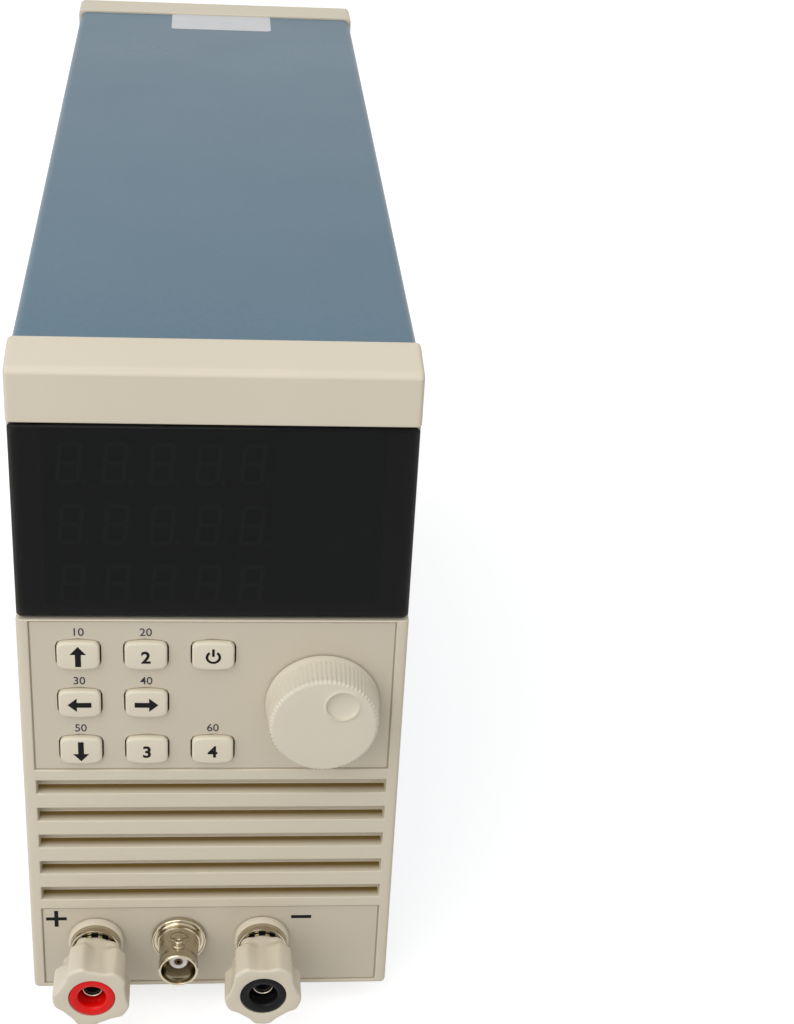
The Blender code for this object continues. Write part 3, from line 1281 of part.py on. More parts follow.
def build_guard():
    """The wire guard: rings carried by two crossing wires that end in screw tabs."""
    spoke_y = depth(PANEL_OUTSIDE + FIT + GUARD_WIRE)
    ring_y = spoke_y + 2 * GUARD_WIRE - GUARD_WELD
    step = (GUARD_OUTER - GUARD_INNER) / (GUARD_RINGS - 1)
    guard = wire_ring("finger_guard", "zinc_steel", GUARD_OUTER, ring_y, GUARD_SIDES)
    for index in range(GUARD_RINGS - 1):
        radius = GUARD_INNER + index * step
        sides = GUARD_SIDES - 4 * (GUARD_RINGS - 1 - index)
        fuse(guard, wire_ring(f"guard_ring_{index}", None, radius, ring_y, sides))
    length = FAN_SCREW_SPACING * math.sqrt(2) - GUARD_EYE_RADIUS
    for index in range(2):
        angle = math.pi / 4 + index * math.pi / 2
        location = (0, spoke_y, level(FAN_LEVEL))
        name = f"guard_spoke_{index}"
        fuse(guard, drum(name, None, GUARD_WIRE, length, location, (0, angle, 0), 6))
    reach = FAN_SCREW_SPACING / 2
    for index, (x, z) in enumerate(circle(reach * math.sqrt(2), 4, 0, 0, math.pi / 4)):
        location = (x, spoke_y, level(FAN_LEVEL + z))
        name = f"guard_eye_{index}"
        fuse(guard, drum(name, None, GUARD_EYE_RADIUS, 2 * GUARD_WIRE, location, TOWARDS_REAR, 12))


def build_inlet():
    """The mains inlet with its three pins, and the fuse drawer below them."""
    flange_back = PANEL_OUTSIDE + FIT
    face = flange_back + INLET_FLANGE
    half = INLET_WIDTH / 2
    low = INLET_LEVEL - INLET_HEIGHT / 2
    high = INLET_LEVEL + INLET_HEIGHT / 2
    inlet = block(
        "mains_inlet", "black_plastic",
        (INLET_X - half, face - INLET_DEPTH, low), (INLET_X + half, face - BITE, high),
    )
    fuse(
        inlet,
        block(
            "inlet_flange", None,
            (INLET_X - half - INLET_BORDER, flange_back, low - INLET_BORDER),
            (INLET_X + half + INLET_BORDER, face, high + INLET_BORDER),
        ),
    )
    socket_level = INLET_LEVEL + SOCKET_LIFT
    width = SOCKET_WIDTH / 2
    height = SOCKET_HEIGHT / 2
    outline = [
        (-width, -height), (width, -height), (width, height - SOCKET_CORNER),
        (width - SOCKET_CORNER, height), (SOCKET_CORNER - width, height),
        (-width, height - SOCKET_CORNER),
    ]
    length = SOCKET_CAVITY + OVERCUT
    location = (INLET_X, depth(face + OVERCUT - length / 2), level(socket_level))
    cut(inlet, plate("socket_cavity", None, [outline], length, location))
    floor = face - SOCKET_CAVITY
    for name, offset, lift in (("left", -PIN_SPREAD, -PIN_LIFT), ("right", PIN_SPREAD, -PIN_LIFT),
                               ("earth", 0, PIN_LIFT)):
        pin_low = (
            INLET_X + offset - PIN_WIDTH / 2, floor - BITE, socket_level + lift - PIN_HEIGHT / 2,
        )
        pin_high = (
            INLET_X + offset + PIN_WIDTH / 2, face - PIN_RECESS,
            socket_level + lift + PIN_HEIGHT / 2,
        )
        fuse(inlet, block(f"pin_{name}", None, pin_low, pin_high))
    drawer_level = INLET_LEVEL - DRAWER_DROP
    reach = DRAWER_WIDTH / 2 + FIT
    rise = DRAWER_HEIGHT / 2 + FIT
    cut(
        inlet,
        block(
            "drawer_well", None,
            (INLET_X - reach, face - DRAWER_DEPTH - FIT, drawer_level - rise),
            (INLET_X + reach, face + OVERCUT, drawer_level + rise),
        ),
    )
    drawer = block(
        "fuse_drawer", "black_plastic",
        (INLET_X - DRAWER_WIDTH / 2, face - DRAWER_DEPTH, drawer_level - DRAWER_HEIGHT / 2),
        (INLET_X + DRAWER_WIDTH / 2, face + FIT, drawer_level + DRAWER_HEIGHT / 2),
    )
    notch = DRAWER_NOTCH / 2
    cut(
        drawer,
        drum(
            "fuse_trough", None, FUSE_RADIUS, DRAWER_WIDTH - 2 * DRAWER_WALL,
            (INLET_X, depth(face - DRAWER_DEPTH / 2), level(drawer_level + DRAWER_HEIGHT / 2)),
            (0, math.pi / 2, 0), 12,
        ),
        block(
            "drawer_notch", None,
            (INLET_X - notch, face - DRAWER_NOTCH_DEPTH, drawer_level - DRAWER_HEIGHT),
            (INLET_X + notch, face + OVERCUT, drawer_level - DRAWER_WALL),
        ),
    )


def build_mains_switch():
    """The mains switch: a housing let into the panel and a rocker on its pivots."""
    flange_back = PANEL_OUTSIDE + FIT
    face = flange_back + SWITCH_FLANGE
    half = SWITCH_WIDTH / 2
    rise = SWITCH_HEIGHT / 2
    housing = block(
        "switch_housing", "black_plastic",
        (SWITCH_X - half, face - SWITCH_DEPTH, SWITCH_LEVEL - rise),
        (SWITCH_X + half, face - BITE, SWITCH_LEVEL + rise),
    )
    fuse(
        housing,
        block(
            "switch_flange", None,
            (SWITCH_X - half - SWITCH_BORDER, flange_back, SWITCH_LEVEL - rise - SWITCH_BORDER),
            (SWITCH_X + half + SWITCH_BORDER, face, SWITCH_LEVEL + rise + SWITCH_BORDER),
        ),
    )
    sweep = math.hypot(ROCKER_HALF, ROCKER_CROWN) + HOLE_CLEARANCE
    well = ROCKER_WIDTH / 2 + FIT
    cut(
        housing,
        block(
            "rocker_well", None,
            (SWITCH_X - well, face - 3 * ROCKER_PIVOT, SWITCH_LEVEL - sweep),
            (SWITCH_X + well, face + OVERCUT, SWITCH_LEVEL + sweep),
        ),
    )
    outline = [
        (ROCKER_CROWN, ROCKER_HALF), (ROCKER_WAIST, 0), (ROCKER_CROWN, -ROCKER_HALF),
        (-ROCKER_WAIST, -ROCKER_HALF), (-ROCKER_CROWN, -ROCKER_HALF / 2),
        (-ROCKER_CROWN, ROCKER_HALF / 2), (-ROCKER_WAIST, ROCKER_HALF),
    ]
    turn = Matrix.Rotation(-ROCKER_TILT, 2)
    tilted = [tuple(turn @ Vector(point)) for point in outline]
    plate(
        "switch_rocker", "black_plastic", [tilted], ROCKER_WIDTH,
        (SWITCH_X, depth(face - ROCKER_PIVOT), level(SWITCH_LEVEL)), ALONG_WIDTH,
    )


def build_selector():
    """The supply voltage selector: a recessed housing and its slider."""
    flange_back = PANEL_OUTSIDE + FIT
    face = flange_back + SELECTOR_FLANGE
    half = SELECTOR_WIDTH / 2
    rise = SELECTOR_HEIGHT / 2
    housing = block(
        "selector_housing", "black_plastic",
        (SELECTOR_X - half, flange_back, SELECTOR_LEVEL - rise),
        (SELECTOR_X + half, face, SELECTOR_LEVEL + rise),
    )
    body = half - SELECTOR_BORDER
    body_rise = rise - SELECTOR_BORDER
    fuse(
        housing,
        block(
            "selector_body", None,
            (SELECTOR_X - body, face - SELECTOR_DEPTH, SELECTOR_LEVEL - body_rise),
            (SELECTOR_X + body, face - BITE, SELECTOR_LEVEL + body_rise),
        ),
    )
    slot = SELECTOR_SLOT_WIDTH / 2
    slot_rise = SELECTOR_SLOT_HEIGHT / 2
    cut(
        housing,
        block(
            "selector_slot", None,
            (SELECTOR_X - slot, face - SELECTOR_SLOT_DEPTH, SELECTOR_LEVEL - slot_rise),
            (SELECTOR_X + slot, face + OVERCUT, SELECTOR_LEVEL + slot_rise),
        ),
    )
    start = SELECTOR_X - slot + FIT
    slider = block(
        "selector_slider", "red_plastic",
        (start, face - SELECTOR_SLOT_DEPTH + FIT, SELECTOR_LEVEL - slot_rise + FIT),
        (start + SLIDER_WIDTH, face - FIT, SELECTOR_LEVEL + slot_rise - FIT),
    )
    groove = start + SLIDER_WIDTH / 2
    cut(
        slider,
        block(
            "slider_groove", None,
            (groove - GROOVE_WIDTH / 2, face - FIT - GROOVE_DEPTH, SELECTOR_LEVEL - SELECTOR_HEIGHT),
            (groove + GROOVE_WIDTH / 2, face + OVERCUT, SELECTOR_LEVEL + SELECTOR_HEIGHT),
        ),
    )


def build_serial():
    """The serial connector: flange behind the panel and a shell that passes through it."""
    flange_front = PANEL_INSIDE - FIT
    flange_back = flange_front - SHEET
    half = SERIAL_FLANGE_WIDTH / 2
    rise = SERIAL_FLANGE_HEIGHT / 2
    connector = block(
        "serial_connector", "zinc_steel",
        (-half, flange_back, SERIAL_LEVEL - rise), (half, flange_front, SERIAL_LEVEL + rise),
    )
    reach = PANEL_OUTSIDE + SERIAL_REACH
    length = reach - flange_back - FIT
    middle = depth(reach - length / 2)
    location = (0, middle, level(SERIAL_LEVEL))
    fuse(
        connector,
        plate("serial_shell", None, [serial_outline(0)], length, location, TOWARDS_REAR),
        block(
            "serial_body", None,
            (-SERIAL_WIDTH / 2, flange_back - SERIAL_INSIDE, SERIAL_LEVEL - SERIAL_HEIGHT / 2),
            (SERIAL_WIDTH / 2, flange_back + BITE, SERIAL_LEVEL + SERIAL_HEIGHT / 2),
        ),
    )
    location = (0, depth(reach), level(SERIAL_LEVEL))
    outline = serial_outline(-SERIAL_SKIN)
    cut(connector, plate("serial_cavity", None, [outline], 2 * SERIAL_CAVITY, location, TOWARDS_REAR))


def build_tunnel():
    """The cooling tunnel: an aluminium extrusion of closed channels between fins."""
    half = TUNNEL_WIDTH / 2
    low = PAN_TOP + FIT
    high = low + TUNNEL_HEIGHT
    outlines = [[(-half, low), (half, low), (half, high), (-half, high)]]
    inside = TUNNEL_WIDTH - 2 * TUNNEL_SKIN
    channel = (inside - TUNNEL_FINS * TUNNEL_FIN) / (TUNNEL_FINS + 1)
    for index in range(TUNNEL_FINS + 1):
        left = -half + TUNNEL_SKIN + index * (channel + TUNNEL_FIN)
        right = left + channel
        outlines.append([
            (left, low + TUNNEL_SKIN), (right, low + TUNNEL_SKIN),
            (right, high - TUNNEL_ROOF), (left, high - TUNNEL_ROOF),
        ])
    location = (0, depth((TUNNEL_FRONT + TUNNEL_END) / 2), level(0))
    plate("heat_tunnel", "aluminium", outlines, TUNNEL_END - TUNNEL_FRONT, location)


def tunnel_top():
    """Level of the cooling tunnel's roof."""
    return PAN_TOP + FIT + TUNNEL_HEIGHT


def build_boards():
    """The power board with its transistors and capacitors, and the control board over it."""
    half = TUNNEL_WIDTH / 2
    roof = tunnel_top()
    low = roof + FIT + POWER_BOARD_LIFT
    board = block(
        "power_board", "green_board",
        (-half, POWER_BOARD_START, low), (half, POWER_BOARD_END, low + BOARD_THICKNESS),
    )
    for row in range(TRANSISTOR_ROWS):
        near = POWER_BOARD_START + (row + 0.5) * POWER_BOARD_LENGTH / TRANSISTOR_ROWS
        for side in (-1, 1):
            middle = side * TUNNEL_WIDTH / 4
            fuse(
                board,
                block(
                    f"transistor_{row}_{side}", None,
                    (middle - TRANSISTOR_WIDTH / 2, near - TRANSISTOR_LENGTH / 2, roof + FIT),
                    (middle + TRANSISTOR_WIDTH / 2, near + TRANSISTOR_LENGTH / 2, low + BITE),
                ),
            )
    top = low + BOARD_THICKNESS
    for side in (-1, 1):
        centre = (
            side * TUNNEL_WIDTH / 4, depth(POWER_BOARD_END - 2 * CAPACITOR_RADIUS),
            level(top + CAPACITOR_HEIGHT / 2 - BITE / 2),
        )
        name = f"capacitor_{side}"
        length = CAPACITOR_HEIGHT + BITE
        fuse(board, drum(name, None, CAPACITOR_RADIUS, length, centre, UPRIGHT, 16))
    upper = top + CONTROL_BOARD_LIFT
    control = block(
        "control_board", "green_board",
        (-half, CONTROL_BOARD_START, upper),
        (half, CONTROL_BOARD_START + CONTROL_BOARD_LENGTH, upper + BOARD_THICKNESS),
    )
    for side in (-1, 1):
        far = CONTROL_BOARD_LENGTH - STANDOFF_RADIUS
        for name, distance in (("near", STANDOFF_RADIUS), ("far", far)):
            length = CONTROL_BOARD_LIFT - FIT + BITE
            centre = (
                side * (half - STANDOFF_RADIUS), depth(CONTROL_BOARD_START + distance),
                level(top + FIT + length / 2),
            )
            fuse(
                control,
                drum(f"standoff_{name}_{side}", None, STANDOFF_RADIUS, length, centre, UPRIGHT, 12),
            )


def build_transformer():
    """The control supply's transformer: a laminated core round its winding."""
    roof = tunnel_top() + FIT
    centre = TRANSFORMER_MIDDLE
    middle = roof + CORE_HEIGHT / 2
    transformer = block(
        "transformer", "varnished_core",
        (-CORE_WIDTH / 2, centre - CORE_DEPTH / 2, roof),
        (CORE_WIDTH / 2, centre + CORE_DEPTH / 2, roof + CORE_HEIGHT),
    )
    winding = block(
        "winding", None,
        (-COIL_WIDTH / 2, centre - COIL_DEPTH / 2, middle - COIL_HEIGHT / 2),
        (COIL_WIDTH / 2, centre + COIL_DEPTH / 2, middle + COIL_HEIGHT / 2),
    )
    round_edges(winding, COIL_ROUNDING, 2)
    fuse(transformer, winding)


def build_bus_bars():
    """Two bent copper bars that carry the load current from the studs to the power board."""
    board_top = tunnel_top() + FIT + POWER_BOARD_LIFT + BOARD_THICKNESS
    foot = TERMINAL_LEVEL - BAR_WIDTH / 2
    face = FACE_WALL + FIT
    run_level = TERMINAL_LEVEL + BAR_WIDTH / 2
    top = board_top + FIT
    end = POWER_BOARD_START + BAR_OVERLAP
    outline = [
        (face, foot), (face + BAR_THICKNESS, foot), (face + BAR_THICKNESS, run_level),
        (BAR_DEPTH, run_level), (BAR_DEPTH, top), (end, top), (end, top + BAR_THICKNESS),
        (BAR_DEPTH - BAR_THICKNESS, top + BAR_THICKNESS),
        (BAR_DEPTH - BAR_THICKNESS, run_level + BAR_THICKNESS), (face, run_level + BAR_THICKNESS),
    ]
    for side, x in (("positive", POST_POSITIVE_X), ("negative", POST_NEGATIVE_X)):
        bar = plate(
            side + "_bus_bar", "copper", [outline], BAR_WIDTH,
            (x, depth(0), level(0)), ALONG_WIDTH,
        )
        location = (x, depth(face), level(TERMINAL_LEVEL))
        radius = STUD_RADIUS + HOLE_CLEARANCE
        cut(bar, drum(side + "_eye", None, radius, 4 * BAR_THICKNESS, location, TOWARDS_FRONT))


def clear_scene():
    """Start from an empty scene."""
    for obj in list(bpy.data.objects):
        bpy.data.objects.remove(obj, do_unlink=True)


def new_collection(name):
    """A collection linked to the scene."""
    collection = bpy.data.collections.new(name)
    bpy.context.scene.collection.children.link(collection)
    return collection


clear_scene()
PARTS = new_collection("dc_electronic_load")
TOOLS = new_collection("cutters_and_guides")

build_front_bezel()
build_window()
build_plates()
build_keys()
build_front_board()
build_encoder()
build_post("positive", POST_POSITIVE_X, "red_plastic")
build_post("negative", POST_NEGATIVE_X, "black_plastic")
build_coax()
build_case()
build_feet()
build_rear()
build_fan()
build_inlet()
build_mains_switch()
build_selector()
build_serial()
build_tunnel()
build_boards()
build_transformer()
build_bus_bars()
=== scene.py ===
"""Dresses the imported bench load: moulded, painted and plated surfaces round the fixed frame.

A piece is drawn in its own millimetres: x to the right and y upward as seen by whoever looks at
it, z towards them. It is then placed by a facing and a spot, where a spot is (across the front,
behind the front face, above the underside of the bezels).
"""

import logging
import math
from dataclasses import dataclass, field
from enum import Enum
from functools import cache
from typing import Callable, Optional, Sequence

import bmesh
import bpy
from mathutils import Euler, Matrix, Vector


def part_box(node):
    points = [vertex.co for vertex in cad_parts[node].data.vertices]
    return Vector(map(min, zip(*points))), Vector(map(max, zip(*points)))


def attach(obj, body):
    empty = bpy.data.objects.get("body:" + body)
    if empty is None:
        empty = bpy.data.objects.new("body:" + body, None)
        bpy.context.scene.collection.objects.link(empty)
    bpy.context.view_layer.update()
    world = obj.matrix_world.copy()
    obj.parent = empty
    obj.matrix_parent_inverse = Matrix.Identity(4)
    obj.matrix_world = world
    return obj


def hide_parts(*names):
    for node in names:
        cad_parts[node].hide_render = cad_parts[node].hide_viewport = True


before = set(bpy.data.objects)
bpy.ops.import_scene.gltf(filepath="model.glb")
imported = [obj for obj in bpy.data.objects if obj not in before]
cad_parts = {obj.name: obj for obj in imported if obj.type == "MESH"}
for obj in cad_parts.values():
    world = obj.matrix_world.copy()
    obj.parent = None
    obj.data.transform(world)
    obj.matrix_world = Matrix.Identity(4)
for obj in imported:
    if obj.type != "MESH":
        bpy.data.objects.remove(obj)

log = logging.getLogger("bench_load")

# Lengths are in millimetres, and in metres only where the frame or the camera asks for them.
MM = 0.001
PER_METRE = 1000.0
# Front face and underside of the bezels, from which spots are counted.
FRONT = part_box("front_bezel")[0].y / MM
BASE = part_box("front_bezel")[0].z / MM
# Gap round a let-in plate.
FIT = 0.3
# Thickness of a print, and of a digit's segment or a thin label.
PRINT = 0.04
LAYER = 0.06
# Chords in a round corner of a flat outline.
CORNER_STEPS = 6
# Points nearer than this are one.
MERGE = 0.001
# Below FLAT two faces of a solid are one, over SHARP an edge is rounded, and over CREASE a drawn
# piece's edge is shaded sharp.
FLAT = math.radians(0.4)
SHARP = math.radians(30.0)
CREASE = math.radians(35.0)
# Height of the built-in face's numerals as a share of its size.
NUMERAL_SHARE = 0.73
# Size of a wiping mark as a share of a colour patch, and roughness of a clear coat.
SMEAR = 0.6
COAT_ROUGHNESS = 0.12

Pair = tuple[float, float]
Spot = tuple[float, float, float]
Outline = Sequence[Pair]
Box = tuple[Vector, Vector]
Colour = tuple[int, int, int]
Shade = Placing = tuple[float, float, float, float]
Group = tuple[bpy.types.NodeTree, bpy.types.bpy_prop_collection, bpy.types.Node]

ORIGIN: Spot = (0.0, 0.0, 0.0)
DUST_COLOUR: Colour = (196, 196, 192)
WHITE: Shade = (1.0, 1.0, 1.0, 1.0)
# Socket types of a group's inputs and outputs that aren't numbers.
SOCKETS = {
    "Vector": "NodeSocketVector", "Stretch": "NodeSocketVector", "Colour": "NodeSocketColor",
    "Neighbour": "NodeSocketColor",
}


class Facing(Enum):
    """The way that a piece looks, as a direction in the frame."""

    FRONT = (0.0, -1.0, 0.0)
    REAR = (0.0, 1.0, 0.0)
    UP = (0.0, 0.0, 1.0)
    DOWN = (0.0, 0.0, -1.0)
    RIGHT = (1.0, 0.0, 0.0)
    LEFT = (-1.0, 0.0, 0.0)

    def basis(self) -> Matrix:
        """Turns a piece's own right, up and towards-the-viewer into the frame's directions.

        Returns:
            The matrix that does it.
        """
        towards = Vector(self.value)
        if abs(towards.z) > 0.5:
            across = Vector((1.0, 0.0, 0.0))
        else:
            across = Vector((-towards.y, towards.x, 0.0))
        upward = towards.cross(across)
        return Matrix((across, upward, towards)).transposed().to_4x4()


def seat(facing: Facing, spot: Spot, turn: float = 0.0) -> Matrix:
    """Finds where a piece goes in the frame.

    Args:
        facing: The way it looks.
        spot: Its own origin, in millimetres.
        turn: Degrees that it is turned about its own z.

    Returns:
        A matrix from the piece's millimetres to metres in the frame.
    """
    across, behind, above = spot
    place = Matrix.Translation((across, FRONT + behind, BASE + above))
    spin = Matrix.Rotation(math.radians(turn), 4, "Z")
    return Matrix.Scale(MM, 4) @ place @ facing.basis() @ spin


def limits(node: str) -> Box:
    """Finds a solid's lowest and highest corner as spots.

    Args:
        node: The solid.

    Returns:
        Both corners.
    """
    shift = Vector((0.0, FRONT, BASE))
    low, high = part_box(node)
    return low / MM - shift, high / MM - shift


def centre(node: str) -> Vector:
    """Finds the spot in the middle of a solid."""
    low, high = limits(node)
    return (low + high) / 2


def in_front_of(node: str, behind: float = 0.0) -> Spot:
    """Finds the spot in front of a solid's middle, at a depth behind the front face."""
    middle = centre(node)
    return (middle.x, behind, middle.z)


def arc(
    radius: float, start: float, end: float, steps: int, x: float = 0.0, y: float = 0.0
) -> list[Pair]:
    """Lists points along part of a circle.

    Args:
        radius: Its radius.
        start: First angle in degrees.
        end: Last angle in degrees.
        steps: Number of chords.
        x: Centre to the right.
        y: Centre upward.

    Returns:
        The points, ends included.
    """
    angles = [math.radians(start + (end - start) * step / steps) for step in range(steps + 1)]
    return [(x + radius * math.cos(angle), y + radius * math.sin(angle)) for angle in angles]


def circle(radius: float, count: int, x: float = 0.0, y: float = 0.0) -> list[Pair]:
    """Lists evenly spaced points on a whole circle, without the last one twice."""
    return arc(radius, 0.0, 360.0, count, x, y)[:-1]


def rounded(width: float, height: float, corner: float) -> list[Pair]:
    """Lists the outline of a rectangle with round corners.

    Args:
        width: Size across.
        height: Size upward.
        corner: Corner radius.

    Returns:
        The points, counter-clockwise.
    """
    half, tall = width / 2 - corner, height / 2 - corner
    points: list[Pair] = []
    for index, (side, top) in enumerate(((1, 1), (-1, 1), (-1, -1), (1, -1))):
        start = 90.0 * index
        points += arc(corner, start, start + 90.0, CORNER_STEPS, side * half, top * tall)
    return points


def ease(value: float) -> float:
    """Runs smoothly from 0 to 1 as the value does."""
    share = min(1.0, max(0.0, value))
    return share * share * (3.0 - 2.0 * share)


def in_scene(name: str, data: bpy.types.ID) -> bpy.types.Object:
    """Makes an object of some data and links it to the scene.

    Args:
        name: Object name.
        data: Its mesh, curve, lamp or camera.

    Returns:
        The object.
    """
    made = bpy.data.objects.new(name, data)
    bpy.context.scene.collection.objects.link(made)
    return made


class Draft:
    """A shape being made with mesh operators, in its own millimetres."""

    def __init__(self) -> None:
        """Starts with nothing."""
        self.bm = bmesh.new()

    def turned(self, profile: Outline, steps: int = 96, x: float = 0.0, y: float = 0.0) -> "Draft":
        """Spins a profile once round an axis that points at the viewer.

        Args:
            profile: (radius, reach) points. It starts and ends on the axis, or is a closed ring.
            steps: Segments in the turn.
            x: Axis to the right.
            y: Axis upward.

        Returns:
            This draft.
        """
        closed = profile[0][0] > 1e-6 or profile[-1][0] > 1e-6
        verts = [self.bm.verts.new((x + radius, y, reach)) for radius, reach in profile]
        edges = [self.bm.edges.new(pair) for pair in zip(verts, verts[1:])]
        if closed:
            edges.append(self.bm.edges.new((verts[-1], verts[0])))
        bmesh.ops.spin(
            self.bm, geom=verts + edges, cent=(x, y, 0.0), axis=(0.0, 0.0, 1.0), dvec=ORIGIN,
            angle=math.tau, steps=steps, use_merge=True, use_normal_flip=False, use_duplicate=False,
        )
        return self.closed()

    def prism(self, outline: Outline, low: float, high: float) -> "Draft":
        """Sweeps a flat outline towards the viewer.

        Args:
            outline: Points of the face.
            low: Where it starts.
            high: Where it ends.

        Returns:
            This draft.
        """
        face = self.bm.faces.new([self.bm.verts.new((x, y, low)) for x, y in outline])
        return self.sweep([face], high - low)

    def sweep(self, faces: list[bmesh.types.BMFace], rise: float) -> "Draft":
        """Sweeps flat faces towards the viewer.

        Args:
            faces: The faces, which stay as the solid's back.
            rise: How far.

        Returns:
            This draft.
        """
        swept = bmesh.ops.extrude_face_region(self.bm, geom=faces, use_keep_orig=True)["geom"]
        moved = [item for item in swept if isinstance(item, bmesh.types.BMVert)]
        bmesh.ops.translate(self.bm, verts=moved, vec=(0.0, 0.0, rise))
        return self.closed()

    def block(self, low: Spot, high: Spot) -> "Draft":
        """Adds a square block.

        Args:
            low: Its lowest corner.
            high: Its highest corner.

        Returns:
            This draft.
        """
        size = [top - bottom for bottom, top in zip(low, high)]
        middle = [(top + bottom) / 2 for bottom, top in zip(low, high)]
        where = Matrix.Translation(middle) @ Matrix.Diagonal((*size, 1.0))
        bmesh.ops.create_cube(self.bm, size=1.0, matrix=where)
        return self

    def bevel(self, width: float, segments: int = 3) -> "Draft":
        """Rounds every sharp edge.

        Args:
            width: Size of the round.
            segments: Faces across it.

        Returns:
            This draft.
        """
        edges = [edge for edge in self.bm.edges if edge.calc_face_angle(0.0) > SHARP]
        bmesh.ops.bevel(
            self.bm, geom=edges, offset=width, offset_type="OFFSET", segments=segments, profile=0.5,
            affect="EDGES", material=-1, clamp_overlap=True,
        )
        return self

    def bend(self, move: Callable[[Vector], Vector]) -> "Draft":
        """Moves every vertex to where a rule sends it.

        Args:
            move: The rule.

        Returns:
            This draft.
        """
        for vert in self.bm.verts:
            vert.co = move(vert.co)
        return self

    def add(self, other: "Draft", where: Optional[Matrix] = None) -> "Draft":
        """Takes in a copy of another draft.

        Args:
            other: The draft to take in.
            where: Its place in this draft's millimetres.

        Returns:
            This draft.
        """
        mesh = bpy.data.meshes.new("draft_part")
        other.bm.to_mesh(mesh)
        if where is not None:
            mesh.transform(where)
        self.bm.from_mesh(mesh)
        bpy.data.meshes.remove(mesh)
        return self

    def carve(self, tool: "Draft", operation: str = "DIFFERENCE") -> "Draft":
        """Cuts another draft out of this one, or fuses it on.

        Args:
            tool: The other draft.
            operation: DIFFERENCE, UNION or INTERSECT.

        Returns:
            This draft.
        """
        pieces = []
        for label, draft in (("work", self), ("tool", tool)):
            mesh = bpy.data.meshes.new(label)
            draft.closed().bm.to_mesh(mesh)
            pieces.append(in_scene(label, mesh))
        modifier = pieces[0].modifiers.new("carve", "BOOLEAN")
        modifier.operation = operation
        modifier.solver = "EXACT"
        modifier.object = pieces[1]
        graph = bpy.context.evaluated_depsgraph_get()
        result = bpy.data.meshes.new_from_object(pieces[0].evaluated_get(graph))
        self.bm.clear()
        self.bm.from_mesh(result)
        for piece in pieces:
            mesh = piece.data
            bpy.data.objects.remove(piece)
            bpy.data.meshes.remove(mesh)
        bpy.data.meshes.remove(result)
        return self

    def closed(self) -> "Draft":
        """Merges what touches and turns every face outward.

        Returns:
            This draft.
        """
        bmesh.ops.remove_doubles(self.bm, verts=self.bm.verts, dist=0.1 * MERGE)
        bmesh.ops.recalc_face_normals(self.bm, faces=self.bm.faces)
        return self

    def piece(self, name: str, where: Matrix) -> bpy.types.Object:
        """Makes the object, with its place in its mesh.

        Args:
            name: Object name.
            where: Matrix from seat().

        Returns:
            The object.
        """
        mesh = bpy.data.meshes.new(name)
        self.bm.to_mesh(mesh)
        self.bm.free()
        mesh.transform(where)
        mesh.shade_smooth()
        mesh.set_sharp_from_angle(angle=CREASE)
        return in_scene(name, mesh)

    def fit(
        self, name: str, where: Matrix, finish: "Finish", body: str = "case", node: str = ""
    ) -> None:
        """Makes the object and finishes it.

        Args:
            name: Object name.
            where: Matrix from seat().
            finish: Its finish.
            body: The body that it rides on.
            node: Solid of the frame that it replaces, if any.
        """
        finish_piece(self.piece(name, where), finish, body, node)


def lettered(text: str, height: float, weight: float = 0.0) -> Draft:
    """Draws plain numerals as a thin solid, centred.

    Args:
        text: The numerals.
        height: Height of a numeral.
        weight: How much bolder than the built-in face, in millimetres.

    Returns:
        A draft 1 mm thick, from z = 0.
    """
    curve = bpy.data.curves.new("numerals", "FONT")
    curve.body = text
    curve.size = height / NUMERAL_SHARE
    curve.offset = weight
    curve.align_x = "CENTER"
    curve.resolution_u = 6
    holder = in_scene("numerals", curve)
    graph = bpy.context.evaluated_depsgraph_get()
    flat = bpy.data.meshes.new_from_object(holder.evaluated_get(graph))
    draft = Draft()
    draft.bm.from_mesh(flat)
    bpy.data.objects.remove(holder)
    bpy.data.curves.remove(curve)
    bpy.data.meshes.remove(flat)
    bmesh.ops.translate(draft.bm, verts=draft.bm.verts, vec=(0.0, -height / 2, 0.0))
    return draft.sweep(list(draft.bm.faces), 1.0)


def eased_copy(node: str, width: float, segments: int) -> bpy.types.Object:
    """Copies a solid of the frame and rounds its edges.

    Args:
        node: The solid's name.
        width: Size of the round in millimetres.
        segments: Faces across it.

    Returns:
        The new object, named after the solid with "_skin".
    """
    work = bmesh.new()
    work.from_mesh(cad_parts[node].data)
    bmesh.ops.remove_doubles(work, verts=work.verts, dist=MERGE * MM)
    bmesh.ops.dissolve_limit(work, angle_limit=FLAT, verts=work.verts, edges=work.edges)
    bmesh.ops.triangulate(work, faces=[face for face in work.faces if len(face.verts) > 4])
    mesh = bpy.data.meshes.new(node + "_skin")
    work.to_mesh(mesh)
    work.free()
    mesh.shade_smooth()
    mesh.set_sharp_from_angle(angle=SHARP)
    made = in_scene(node + "_skin", mesh)
    round_off = made.modifiers.new("edge", "BEVEL")
    round_off.width = width * MM
    round_off.segments = segments
    round_off.limit_method = "ANGLE"
    round_off.angle_limit = SHARP
    round_off.use_clamp_overlap = False
    round_off.harden_normals = True
    level_out = made.modifiers.new("level_faces", "WEIGHTED_NORMAL")
    level_out.mode = "FACE_AREA"
    level_out.keep_sharp = True
    return made


def feed(tree: bpy.types.NodeTree, node: bpy.types.Node, inputs: dict[object, object]) -> None:
    """Sets a node's inputs.

    Args:
        tree: The nodes that it is among.
        node: The node.
        inputs: Constants, or sockets to link, by the input's name or number.
    """
    for label, value in inputs.items():
        if isinstance(value, bpy.types.NodeSocket):
            tree.links.new(value, node.inputs[label])
        else:
            node.inputs[label].default_value = value


